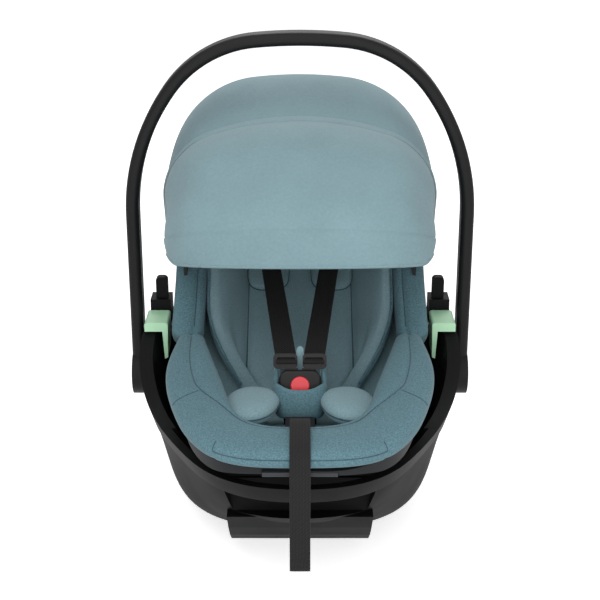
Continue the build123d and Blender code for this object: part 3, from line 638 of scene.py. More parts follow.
def thicken(piece: bpy.types.Object, thick_mm: float) -> bpy.types.Object:
    """Give a sheet its thickness, half to each side.

    Args:
        piece: Open sheet.
        thick_mm: Thickness in millimetres.

    Returns:
        The same object as a closed shell.
    """
    wall = piece.modifiers.new("thickness", "SOLIDIFY")
    wall.thickness = thick_mm * MM
    wall.offset = 0.0
    return bake_modifiers(piece)


def dress(piece: bpy.types.Object, slot: Slot, *nodes: str) -> bpy.types.Object:
    """Give a piece the material of its slot, and hide the solids that it stands for.

    Args:
        piece: Piece to dress.
        slot: Material slot of the piece.
        *nodes: Solids that it stands for.

    Returns:
        The piece.
    """
    piece.data.materials.clear()
    piece.data.materials.append(MATERIALS[slot])
    if nodes:
        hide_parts(*nodes)
    LOG.info("%s: %d faces", piece.name, len(piece.data.polygons))
    return piece


def closed_piece(
    name: str, grids: Sequence[np.ndarray], slot: Slot, body: str, *nodes: str
) -> bpy.types.Object:
    """Make a closed piece from capped grids, dress it and ride it on a body.

    Args:
        name: Name of the piece.
        grids: Arrays of rows by columns by three, in millimetres.
        slot: Material slot of the piece.
        body: Body that it moves with.
        *nodes: Solids that it stands for.

    Returns:
        The piece.
    """
    piece = dress(grid_object(name, grids, closed=True, capped=True), slot, *nodes)
    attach(piece, body)
    return piece


def sew(name: str, paths: Sequence[np.ndarray], radius: float, slot: Slot, body: str) -> bpy.types.Object:
    """Lay sewn seam lines on a padded or stretched piece, in a darker knit that paints the shade in the seams.

    Args:
        name: Name of the seam piece.
        paths: Centrelines of the seams, in millimetres.
        radius: Radius of the seam's roll.
        slot: Slot of the cloth that is sewn.
        body: Body that the seams move with.

    Returns:
        The seam piece.
    """
    piece = closed_piece(name, [tube(path, radius) for path in paths], slot, body)
    # The seam lines take the darker seam knit: painted shade along the seams.
    piece.data.materials[0] = SEAM_SHADES[slot]
    return piece


def ribbon(path: np.ndarray, wide: float, thick: float, end_fold: float = 0.0) -> np.ndarray:
    """Flat strap whose width stays across the seat, as a closed section along a path.

    Args:
        path: Points of the centreline, in millimetres.
        wide: Width of the strap.
        thick: Thickness of the strap.
        end_fold: Length at the far end where the strap is folded double.

    Returns:
        Grid of path points by section points.
    """
    tangent = np.gradient(path, axis=0)
    tangent[:, 0] = 0.0
    tangent /= np.linalg.norm(tangent, axis=1)[:, None]
    out = np.stack([np.zeros(len(path)), -tangent[:, 2], tangent[:, 1]], axis=1)
    theta = circle(24)
    across = 0.5 * wide * signed_power(np.cos(theta), 0.25)
    height = 0.5 * thick * signed_power(np.sin(theta), 0.6)
    place = run(path)
    double = np.where(place[-1] - place < end_fold, 1.9, 1.0)[:, None, None]
    spread = across[None, :, None] * np.array([1.0, 0.0, 0.0])
    return path[:, None] + spread + double * height[None, :, None] * out[:, None]


def tube(path: np.ndarray, radius: float) -> np.ndarray:
    """Round tube along a path, for piping and rolled edges.

    Args:
        path: Points of the centreline, in millimetres.
        radius: Radius of the tube.

    Returns:
        Grid of path points by points round the tube.
    """
    tangent = np.gradient(path, axis=0)
    tangent /= np.linalg.norm(tangent, axis=1)[:, None]
    sideways = np.abs(tangent[:, :1]) > 0.9
    guide = np.where(sideways, np.array([[0.0, 0.0, 1.0]]), np.array([[1.0, 0.0, 0.0]]))
    side = np.cross(tangent, guide)
    side /= np.linalg.norm(side, axis=1)[:, None]
    other = np.cross(tangent, side)
    theta = circle(10)[None, :, None]
    return path[:, None] + radius * (np.cos(theta) * side[:, None] + np.sin(theta) * other[:, None])


# Padded rims


@dataclass
class PaddedRim:
    """U-shaped padded rim: a pillow section carried between an outer and an inner outline."""

    name: str
    node: str
    origin: tuple[float, float, float]
    slope: float
    low: float
    thick: float
    outer: Sequence[tuple[float, float]]
    inner: Sequence[tuple[float, float]]
    tip: tuple[float, float]
    seam_share: float
    arm_seam_share: float
    cross_seams: Sequence[float]
    front_seam_half: float = 0.0
    sole: float = 0.0
    rows: int = 150
    cap_rows: int = 9
    section: int = 72
    side_power: float = 0.62
    top_power: float = 0.72
    sole_power: float = 0.35
    bend_from: float = 90.0
    bend_over: float = 110.0
    front_seam_up: float = 0.2
    long_groove: tuple[float, float] = (2.6, 2.6)
    cross_groove: tuple[float, float] = (2.0, 2.4)
    panel_groove: tuple[float, float] = (1.6, 1.8)
    panel_end_groove: tuple[float, float] = (1.6, 2.0)
    seam_radius: float = 0.7
    fill: float = 0.8

    def outline(self, half: Sequence[tuple[float, float]]) -> np.ndarray:
        """Whole outline, from the left tip round to the right tip, of a right half."""
        right = np.asarray(half, float)
        return through(np.concatenate([mirrored(right[:0:-1]), right]), self.rows)

    def profile(self) -> tuple[np.ndarray, np.ndarray, np.ndarray]:
        """Superellipse section: its angles, and its shares of the half width and half thickness."""
        theta = circle(self.section)
        return theta, signed_power(np.cos(theta), self.side_power), signed_power(np.sin(theta), self.top_power)

    def seam_at(self, place: np.ndarray) -> np.ndarray:
        """Find the long seam, which eases from the front's share of the width to the arms'.

        Args:
            place: Distance along the U from its middle.

        Returns:
            Share of the half width where the seam runs.
        """
        arm = np.clip((np.abs(place) - self.bend_from) / self.bend_over, 0.0, 1.0)
        arm = arm * arm * (3.0 - 2.0 * arm)
        return self.seam_share + arm * (self.arm_seam_share - self.seam_share)

    def grid(self) -> np.ndarray:
        """Pillow section: superellipse across, with sewn grooves pressed into its upper side.

        Returns:
            Grid of points along the U by points round the section.
        """
        outside, inside = self.outline(self.outer), self.outline(self.inner)
        middle, reach = 0.5 * (outside + inside), 0.5 * (outside - inside)
        turn = np.linspace(0.0, QUARTER, self.cap_rows + 1)[1:]
        right_mid = middle[-1] + np.sin(turn)[:, None] * (np.array(self.tip) - middle[-1])
        left_mid = mirrored(right_mid[::-1])
        shrink = np.maximum(np.cos(turn), 0.03)
        right_reach = shrink[:, None] * reach[-1]
        left_reach = shrink[::-1, None] * reach[0]
        middle = np.concatenate([left_mid, middle, right_mid])
        reach = np.concatenate([left_reach, reach, right_reach])
        flat = np.concatenate([shrink[::-1], np.ones(self.rows), shrink]) ** 0.7
        theta, share, up = self.profile()
        half = np.linalg.norm(reach, axis=1)[:, None]
        along = run(middle)
        top = np.clip(np.sin(theta), 0.0, 1.0)[None]
        height = 0.5 * self.thick * up[None] * flat[:, None]
        under = np.clip(-np.sin(theta), 0.0, 1.0)[None] ** self.sole_power
        height = height - self.sole * under * flat[:, None]
        place = (along - 0.5 * along[-1])[:, None]
        seam = self.seam_at(place)
        height = height + top * groove((share[None] - seam) * half, *self.long_groove)
        for distance in self.cross_seams:
            side = np.clip((share[None] - seam) * half / 3.0, 0.0, 1.0)
            height = height + top * side * groove(np.abs(place) - distance, *self.cross_groove)
        swell = 0.5 * np.sin(along / 23.0) + 0.35 * np.sin(along / 9.7 + 1.0)
        height = height + 0.6 * top * swell[:, None] * flat[:, None]
        plan = middle[:, None] + share[None, :, None] * reach[:, None]
        pull = np.zeros_like(height)
        if self.front_seam_half:
            face = np.clip(share[None], 0.0, 1.0)
            near = np.clip((self.front_seam_half - np.abs(place)) / 4.0, 0.0, 1.0)
            above = (up[None] - self.front_seam_up) * 0.5 * self.thick
            pull = near * face * groove(above, *self.panel_groove)
            pull = pull + face * groove(np.abs(place) - self.front_seam_half, *self.panel_end_groove)
        normal = reach / np.maximum(half, 1e-6)
        plan = plan + pull[:, :, None] * normal[:, None]
        out = self.low + 0.5 * self.thick + height
        return on_plane(self.origin, self.slope, np.concatenate([plan, out[:, :, None]], axis=2))

    def seams(self, grid: np.ndarray) -> list[np.ndarray]:
        """Read the long seam, the cross seams and the stitched front panel off the rim's surface.

        Args:
            grid: The rim's own grid.

        Returns:
            Lines of the seams, in millimetres.
        """
        _, share, up = self.profile()
        rows = grid[self.cap_rows : -self.cap_rows]
        along = run(rows.mean(axis=1))
        place = along - 0.5 * along[-1]
        column = np.arccos(signed_power(self.seam_at(place), 1.0 / self.side_power)) * self.section / TURN
        number, rest = column.astype(int), (column % 1.0)[:, None]
        order = np.arange(len(rows))
        lines = [(1.0 - rest) * rows[order, number] + rest * rows[order, number + 1]]
        outer = np.flatnonzero((up > 0.3) & (share > self.arm_seam_share))
        for distance in self.cross_seams:
            lines += [rows[np.argmin(np.abs(place - sign * distance))][outer] for _, sign in SIDES]
        if self.front_seam_half:
            low = np.argmin(np.where(share > 0.0, np.abs(up - self.front_seam_up), 9.0))
            lines.append(rows[np.abs(place) < self.front_seam_half, low])
            face = np.roll(np.arange(self.section), self.section // 2)
            face = face[(share[face] > 0.0) & (up[face] > 0.15) & (up[face] < 0.85)]
            ends = [np.argmin(np.abs(place - sign * self.front_seam_half)) for _, sign in SIDES]
            lines += [rows[end][face] for end in ends]
        return lines

    def build(self) -> bpy.types.Object:
        """Make the rim with its seams, and ride both on the seat.

        Returns:
            The rim.
        """
        grid = self.grid()
        piece = closed_piece(self.name, [grid], Slot.COVER_DARK, "seat", self.node)
        # The seam lines take the darker seam knit, which paints the shade in the sewn grooves.
        sew(self.name + "_seams", self.seams(grid), self.seam_radius, Slot.COVER_DARK, "seat")
        return piece


SEAT_RIM = PaddedRim(
    "seat_rim_pad",
    "rim_cover",
    origin=(0.0, -270.0, 195.0),
    slope=4.1,
    low=0.0,
    thick=24.0,
    outer=[(0, -50), (86, -35), (116, 0), (139, 60), (153, 140), (146, 216)],
    inner=[(0, 12), (53, 25), (71, 50), (82, 90), (99, 160), (113, 216)],
    tip=(130, 229),
    seam_share=-0.74,
    arm_seam_share=0.0,
    cross_seams=[170.0],
    front_seam_half=82.0,
)
HEAD_RIM = PaddedRim(
    "head_rim_pad",
    "head_surround",
    origin=(0.0, -10.0, 216.0),
    slope=33.0,
    low=-22.0,
    thick=22.0,
    outer=[(0, 393), (118, 350), (159, 240), (159, 130), (159, 14)],
    inner=[(0, 350), (86, 322), (120, 240), (120, 130), (120, 14)],
    tip=(139.5, -2),
    seam_share=-0.45,
    arm_seam_share=-0.45,
    cross_seams=[],
    sole=11.0,
)


# Seat insert


@dataclass
class SeatInsert:
    """Fitted cover inside the bucket: a trough that follows the floor and climbs to the rims."""

    hip_y: float = 10.0
    hip_z: float = 76.0
    pan_slope: float = -18.7
    back_slope: float = 33.0
    lift: float = 28.0
    front: float = -226.0
    back: float = 268.0
    thick: float = 7.0
    wall_gap: float = 11.0
    hip_round: float = 14.0
    trough_power: float = 3.4
    rim_drop: float = 4.0
    seam_groove: tuple[float, float] = (2.0, 2.6)
    fill: float = 0.5
    least_depth: float = 6.0
    seam_x: float = 82.0
    plan: tuple = (
        *((-311, 62), (-265, 104), (-208, 126), (-130, 139), (-55, 144)),
        *((40, 149), (120, 151), (200, 147), (280, 110)),
    )
    rim: tuple = (
        *((-330, 190), (-250, 194), (-46, 204), (-34, 178), (-16, 183)),
        *((10, 198), (60, 230), (150, 288), (250, 352), (350, 417)),
    )
    rows: int = 120
    cols: int = 90

    def floor(self, y: np.ndarray) -> np.ndarray:
        """Lift the bucket's pan and back lines to the insert, and round their meeting at the hip.

        Args:
            y: Places along the seat.

        Returns:
            Height of the insert's middle surface at each place.
        """
        pan = self.hip_z - math.tan(math.radians(-self.pan_slope)) * (y - self.hip_y)
        back = self.hip_z + math.tan(math.radians(self.back_slope)) * (y - self.hip_y)
        rounding = 0.5 * np.sqrt((back - pan) ** 2 + self.hip_round**2) - 0.25 * self.hip_round
        return self.lift + 0.5 * (pan + back) + rounding

    def grid(self) -> np.ndarray:
        """Superellipse trough: |x/w|^3.4 + |(rim - z)/depth|^3.4 = 1 at each y, with two long seams.

        Returns:
            Grid of points from front to back by points from left to right.
        """
        y = np.linspace(self.front, self.back, self.rows)
        half = table_at(self.plan, y)[:, 0] - self.wall_gap
        top = np.interp(y, *np.asarray(self.rim, float).T) - self.rim_drop
        low = self.floor(y)
        angle = np.linspace(-QUARTER, QUARTER, self.cols)[None]
        power = 2.0 / self.trough_power
        x = half[:, None] * signed_power(np.sin(angle), power)
        depth = np.maximum(top - low, self.least_depth)
        z = top[:, None] - depth[:, None] * np.abs(np.cos(angle)) ** power
        z = z + groove(np.abs(x) - self.seam_x, *self.seam_groove)
        return np.stack([x, np.broadcast_to(y[:, None], x.shape), z], axis=2)

    def build(self) -> bpy.types.Object:
        """Make the insert and ride it on the seat.

        Returns:
            The insert.
        """
        piece = thicken(grid_object("seat_insert", [self.grid()]), self.thick)
        dress(piece, Slot.COVER_LIGHT, "inner_cover")
        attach(piece, "seat")
        return piece


# Headrest and small pads


@dataclass
class Headrest:
    """Headrest pad: a panel with a wing on each side, piped along the wings' edges."""

    origin: tuple[float, float, float] = (0.0, 10.0, 121.0)
    slope: float = 33.0
    panel_half: float = 84.0
    crease_in: float = 14.0
    end_reach: float = 5.0
    end_shrink: float = 0.14
    slices: tuple = (
        (6.0, 72.0, 58.0, 13.0, 12.0),
        (36.0, 94.0, 80.0, 36.0, 15.0),
        (70.0, 112.0, 98.0, 62.0, 16.0),
        (130.0, 117.0, 103.0, 78.0, 17.0),
        (224.0, 117.0, 103.0, 80.0, 17.0),
        (250.0, 110.0, 96.0, 66.0, 14.0),
    )
    rows: int = 70
    piping_radius: float = 2.0
    crease_radius: float = 1.0
    fill: float = 0.8

    def sections(self) -> tuple[np.ndarray, np.ndarray]:
        """Control polygons of the pad's sections, and how far along the back each one is.

        Returns:
            Rows by control points by two, and the rows' places.
        """
        along = np.linspace(self.slices[0][0], self.slices[-1][0], self.rows)
        out, inside, tall, thick = table_at(self.slices, along).T
        base = np.minimum(self.panel_half, out - 12.0)
        floor = np.minimum(self.panel_half - self.crease_in, inside - 6.0)
        zero = np.zeros_like(out)
        right = [
            (0.5 * base, zero),
            (base, zero),
            (0.5 * (base + out), 0.22 * tall),
            (out + 1.0, 0.55 * tall),
            (out + 1.0, 0.85 * tall),
            (out - 2.0, tall + 1.5),
            (0.5 * (out + inside) - 1.0, tall + 2.0),
            (inside, tall + 1.0),
            (inside - 11.0, 0.82 * tall),
            (floor + 13.0, 0.55 * tall + 3.0),
            (floor + 4.0, thick + 0.16 * tall),
            (floor - 2.0, thick - 3.5),
            (floor - 9.0, thick + 1.5),
            (0.5 * floor, thick + 1.2),
            (zero, thick + 1.0),
        ]
        half = np.stack([np.stack(pair, axis=1) for pair in right], axis=1)
        return np.concatenate([half, mirrored(half[:, -2::-1])], axis=1), along

    def grid(self) -> np.ndarray:
        """Rounded loops through the control polygons, drawn in at both ends.

        Returns:
            Grid of points along the back by points round the section.
        """
        controls, along = self.sections()
        loop = rounded_loop(controls, 6)
        turn = np.linspace(0.0, QUARTER, 7)[1:]
        ends = []
        for row, sign in ((0, -1.0), (-1, 1.0)):
            centre = loop[row].mean(axis=0) * np.array([0.0, 0.55])
            share = 1.0 + self.end_shrink * (np.maximum(np.cos(turn), 0.0)[:, None, None] - 1.0)
            rings = centre + share * (loop[row] - centre)
            ends.append((rings, along[row] + sign * self.end_reach * np.sin(turn)))
        loops = np.concatenate([ends[0][0][::-1], loop, ends[1][0]])
        places = np.concatenate([ends[0][1][::-1], along, ends[1][1]])
        places = np.broadcast_to(places[:, None], loops.shape[:2])
        local = np.stack([loops[:, :, 0], places, loops[:, :, 1]], axis=2)
        return on_plane(self.origin, self.slope, local)

    def piping(self) -> list[np.ndarray]:
        """Carry piping along each wing's edge, from the foot of the headrest to its top.

        Returns:
            Grids of the left and the right piping.
        """
        along = np.linspace(self.slices[0][0] + 4.0, self.slices[-1][0] - 2.0, 90)
        out, _, tall, _ = table_at(self.slices, along).T
        edge = np.stack([out - 0.5, along, tall + 0.6], axis=1)
        lines = [on_plane(self.origin, self.slope, mirrored(edge, sign)) for _, sign in SIDES]
        return [tube(line, self.piping_radius) for line in lines]

    def creases(self) -> list[np.ndarray]:
        """Follow the sewn creases between the panel and its wings.

        Returns:
            Lines of the left and the right crease.
        """
        along = np.linspace(self.slices[0][0] + 8.0, self.slices[-1][0] - 4.0, 70)
        _, inside, _, thick = table_at(self.slices, along).T
        floor = np.minimum(self.panel_half - self.crease_in, inside - 6.0)
        line = np.stack([floor - 2.0, along, thick - 1.2], axis=1)
        return [on_plane(self.origin, self.slope, mirrored(line, sign)) for _, sign in SIDES]

    def build(self) -> None:
        """Make the pad, its piping and its creases, and ride them on the headrest."""
        pad = closed_piece("headrest_cushion", [self.grid()], Slot.COVER_LIGHT, "headrest", "headrest_pad")
        closed_piece("headrest_piping", self.piping(), Slot.COVER_DARK, "headrest")
        # The crease lines take the darker seam knit, which paints the shade in the creases.
        sew("headrest_creases", self.creases(), self.crease_radius, Slot.COVER_DARK, "headrest")


@dataclass
class PillowPad:
    """Pad with a flat base and a crowned top over a superellipse outline."""

    name: str
    node: str
    body: str
    origin: tuple[float, float, float]
    slope: float
    half_wide: float
    half_long: float
    thick: float
    turn: float = 0.0
    power: float = 0.6
    crown: float = 0.75
    slot: Slot = Slot.COVER_LIGHT
    piping: float = 0.0
    edge_share: float = 0.32
    edge_power: float = 0.55
    points: int = 64
    rings: int = 40
    fill: float = 0.7

    def outline(self, count: int) -> np.ndarray:
        """Draw the superellipse outline, turned in its plane.

        Args:
            count: Number of points.

        Returns:
            Points of the outline.
        """
        theta = circle(count)
        flat = signed_power(np.stack([np.cos(theta), np.sin(theta)], axis=1), self.power)
        flat = flat * np.array([self.half_wide, self.half_long])
        c, s = math.cos(math.radians(self.turn)), math.sin(math.radians(self.turn))
        return flat @ np.array([[c, s], [-s, c]])

    def grid(self) -> np.ndarray:
        """Rings of the outline: they widen from the base to the edge, then close over the crown.

        Returns:
            Grid of rings by points round the outline.
        """
        outline = self.outline(self.points)
        rise = np.linspace(-QUARTER, QUARTER, self.rings)
        share = np.maximum(np.cos(rise) ** self.edge_power, 0.01)
        edge = self.edge_share * self.thick
        crown = edge + (self.thick - edge) * np.clip(np.sin(rise), 0.0, 1.0) ** self.crown
        height = np.where(rise < 0, edge * (1.0 + np.sin(rise)), crown)
        flat = share[:, None, None] * outline[None]
        out = np.broadcast_to(height[:, None], flat.shape[:2])
        return on_plane(self.origin, self.slope, np.concatenate([flat, out[:, :, None]], axis=2))

    def build(self) -> None:
        """Make the pad, with piping round its edge if it has any."""
        piece = closed_piece(self.name, [self.grid()], self.slot, self.body, self.node)
        if self.piping:
            ring = self.outline(90)
            ring = np.concatenate([ring, ring[:2]])
            height = np.full((len(ring), 1), self.edge_share * self.thick)
            path = on_plane(self.origin, self.slope, np.concatenate([ring, height], axis=1))
            # The piping takes the darker seam knit, which paints shade along the pad's edge seam.
            sew(self.name + "_piping", [path], self.piping, Slot.COVER_DARK, self.body)


def small_pads() -> list[PillowPad]:
    """Size the shoulder pads on the headrest and the thigh cushions beside the buckle.

    Returns:
        Left and right pads.
    """
    pads = []
    for side, sign in SIDES:
        node = f"shoulder_pad_{side}"
        place = tuple(on_plane(Headrest.origin, Headrest.slope, np.array([sign * 42.0, 186.0, 18.0])))
        pads.append(PillowPad(f"{node}_cushion", node, "headrest", place, 33.0, 27.0, 32.0, 11.5, piping=1.0))
        node = f"thigh_cushion_{side}"
        thigh = PillowPad(f"{node}_pad", node, "seat", (sign * 56.0, -156.0, 177.0), -2.0, 31.0, 43.0, 24.0)
        thigh.turn, thigh.power, thigh.crown = sign * 14.0, 0.9, 0.9
        thigh.piping, thigh.edge_share = 1.0, 0.52
        pads.append(thigh)
    return pads


@dataclass
class BuckleCup:
    """Padded cup round the buckle: a wall between two superellipses with a sloping upper edge."""

    lean: float = 20.0
    centre: tuple[float, float, float] = (0.0, -120.0, 197.5)
    foot: float = -36.0
    shift: float = -4.0
    half_wide: float = 28.4
    half_deep: float = 25.9
    wall: float = 3.1
    edge: tuple = ((-34, 33), (-8, 36), (8, 46), (18, 66), (34, 72))
    corner_rise: float = 11.0
    tab_rise: float = 9.0
    tab_half: float = 5.2
    plan_power: float = 0.62
    wall_power: float = 0.8
    top_power: float = 0.3
    belly: float = 0.18
    seam_below: float = 9.0
    seam_groove: tuple[float, float] = (0.9, 1.5)
    fill: float = 0.6
    taper: float = 0.16
    taper_height: float = 22.0
    flap_from: float = 0.06
    flap_to: float = 0.44
    flap_share: float = 1.22

    def grid(self, first: float, last: float, wall: float, tab: float = 0.0) -> np.ndarray:
        """Wall section carried round the cup; its height follows the edge's depth.

        Args:
            first: Angle where the wall begins, in turns.
            last: Angle where the wall ends, in turns.
            wall: Half thickness of the wall.
            tab: Rise of the tab in the middle of the wall.

        Returns:
            Grid of points round the cup by points round the wall.
        """
        theta = np.linspace(TURN * first, TURN * last, 120)
        x = self.half_wide * signed_power(np.cos(theta), self.plan_power)
        depth = self.half_deep * signed_power(np.sin(theta), self.plan_power)
        tall = table_at(self.edge, depth)[:, 0] - 1.0
        tall = tall + tab * np.exp(-((x / self.tab_half) ** 4))
        front = np.clip(-depth / self.half_deep, 0.0, 1.0)
        tall = tall + self.corner_rise * np.abs(x / self.half_wide) ** 3 * front
        out = np.stack([np.cos(theta) / self.half_wide, np.sin(theta) / self.half_deep], axis=1)
        out /= np.linalg.norm(out, axis=1)[:, None]
        phi = circle(40)
        across = wall * signed_power(np.cos(phi), self.wall_power)
        up = 0.5 + 0.5 * signed_power(np.sin(phi), self.top_power)
        belly = 1.0 + self.belly * np.sin(math.pi * up)
        height = tall[:, None] * up[None]
        seam = height - tall[:, None] + self.seam_below
        sewn = groove(seam, *self.seam_groove) * (np.cos(phi) > 0)[None]
        swell = ((across * belly)[None] + sewn)[:, :, None]
        low = np.clip(1.0 - height / self.taper_height, 0.0, 1.0) ** 2
        flat = np.stack([x, depth], axis=1)[:, None] + swell * out[:, None]
        flat = flat * (1.0 - self.taper * low)[:, :, None]
        lean = math.radians(self.lean)
        up_axis = np.array([0.0, math.sin(lean), math.cos(lean)])
        back_axis = np.array([0.0, math.cos(lean), -math.sin(lean)])
        origin = np.asarray(self.centre) + self.foot * up_axis - self.shift * back_axis
        return (
            origin
            + flat[:, :, :1] * np.array([1.0, 0.0, 0.0])
            + flat[:, :, 1:] * back_axis
            + height[:, :, None] * up_axis
        )

    def build(self) -> bpy.types.Object:
        """Make the light flap and the cup, and ride them on the seat.

        Returns:
            The cup.
        """
        flap = self.grid(self.flap_from, self.flap_to, self.flap_share * self.wall, self.tab_rise)
        closed_piece("buckle_flap", [flap], Slot.COVER_LIGHT, "seat")
        piece = grid_object("buckle_cup", [self.grid(0.0, 1.0, self.wall)], closed=True)
        dress(piece, Slot.COVER_DARK, "crotch_pad")
        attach(piece, "seat")
        return piece


# Harness webbing


@dataclass
class Harness:
    """Shoulder straps, the webbing behind the back, the crotch strap and the adjuster strap."""

    back_origin: tuple[float, float, float] = (0.0, 10.0, 121.0)
    back_slope: float = 33.0
    strap_x: float = 44.0
    wide: float = 25.0
    thick: float = 1.6
    tail_wide: float = 21.5
    slot_along: float = 230.0
    tongue: tuple[float, float, float] = (16.0, -100.9, 222.5)
    tail: tuple = (
        *((-186, 180.5), (-204, 187), (-226, 203), (-246, 218), (-272, 224.5), (-300, 223.5)),
        *((-319, 217.5), (-327.5, 203), (-328.5, 178), (-327.5, 130), (-327, 81)),
    )
    tail_fold: float = 14.0
    pad_top: float = 20.0
    rear_from: float = 81.5
    rear_to: float = 232.5
    rear_behind: float = -45.7
    crotch: tuple = ((-127.0, 106.0), (-127.0, 166.0))
    crotch_wide: float = 38.0
    crotch_thick: float = 2.0
    web: tuple = ((88, 100), (10, 54), (-60, 66), (-172, 112), (-176, 148))

    def shoulder_path(self, sign: float) -> np.ndarray:
        """Lead a strap out of the back's slot, over the shoulder pad and straight to the tongue.

        Args:
            sign: -1 for the left strap, 1 for the right one.

        Returns:
            Points of the strap's centreline.
        """
        profile = np.array([(0.0, -43.0), (0.0, -8.0), (0.0, self.pad_top), (-8.0, 33.0)])
        local = np.insert(profile + np.array([self.slot_along, 0.0]), 0, self.strap_x, axis=1)
        behind = self.on_back(local)
        end = np.array(self.tongue)
        share = np.array([0.12, 0.3, 0.5, 0.7, 0.88, 1.0])[:, None]
        ahead = behind[-1] + share * (end - behind[-1])
        loop = end + np.array([[-0.3, -2.6, -0.6], [-0.6, -4.6, -3.6]])
        return mirrored(smooth_line(np.concatenate([behind, ahead, loop]), 120), sign)

    def on_back(self, local: np.ndarray) -> np.ndarray:
        """Points over the back rest, moved into the row frame."""
        return on_plane(self.back_origin, self.back_slope, local)

    def strap(self, name: str, paths: Sequence[np.ndarray], wide: float, node: str) -> bpy.types.Object:
        """Make straps of the harness's thickness along paths, and ride them on the seat.

        Args:
            name: Name of the piece.
            paths: Centrelines, in millimetres.
            wide: Width of the webbing.
            node: Solid that it stands for.

        Returns:
            The piece.
        """
        return closed_piece(name, [ribbon(path, wide, self.thick) for path in paths], Slot.WEBBING, "seat", node)

    def tail_spline(self) -> np.ndarray:
        """Draw the NURBS line that has the adjuster strap's route as its control points.

        Returns:
            Points read from the line, in millimetres.
        """
        curve = bpy.data.curves.new("tail_line", "CURVE")
        curve.dimensions = "3D"
        curve.resolution_u = 24
        line = curve.splines.new("NURBS")
        route = np.array([(0.0, y, z, 1000.0) for y, z in self.tail]) * MM
        line.points.add(len(route) - 1)
        line.points.foreach_set("co", route.ravel())
        line.order_u = 3
        line.use_endpoint_u = True
        holder = bpy.data.objects.new("tail_line", curve)
        bpy.context.scene.collection.objects.link(holder)
        mesh = bpy.data.meshes.new_from_object(holder)
        points = np.zeros(len(mesh.vertices) * 3, np.float32)
        mesh.vertices.foreach_get("co", points)
        bpy.data.objects.remove(holder)
        return points.reshape(-1, 3).astype(float) / MM

    def build_tail(self) -> bpy.types.Object:
        """Make the adjuster strap's free end, with its end folded double.

        Returns:
            The strap.
        """
        path = self.tail_spline()
        grid = ribbon(path, self.tail_wide, self.thick, self.tail_fold)
        piece = closed_piece("adjuster_tail", [grid], Slot.WEBBING, "seat", "adjuster_strap")
        return piece

    def build(self) -> None:
        """Make the rest of the webbing."""
        for side, sign in SIDES:
            grid = ribbon(self.shoulder_path(sign), self.wide, self.thick)
            strap = grid_object(f"shoulder_webbing_{side}", [grid], closed=True, capped=True)
            dress(strap, Slot.WEBBING, f"shoulder_strap_{side}")
            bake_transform(strap)
        along = np.linspace(self.rear_from, self.rear_to, 40)
        strand = np.stack([np.full(40, self.strap_x), along, np.full(40, self.rear_behind)], axis=1)
        strands = [self.on_back(mirrored(strand, sign)) for _, sign in SIDES]
        self.strap("rear_webbing", strands, self.wide, "rear_straps")
        route = smooth_line(np.array([(0.0, y, z) for y, z in self.web]), 90)
        self.strap("adjuster_webbing", [route], self.tail_wide, "adjuster_web")
        line = np.insert(np.linspace(*self.crotch, 30), 0, 0.0, axis=1)
        grid = ribbon(line, self.crotch_wide, self.crotch_thick)
        closed_piece("crotch_webbing", [grid], Slot.WEBBING, "seat", "crotch_strap")


# Canopy


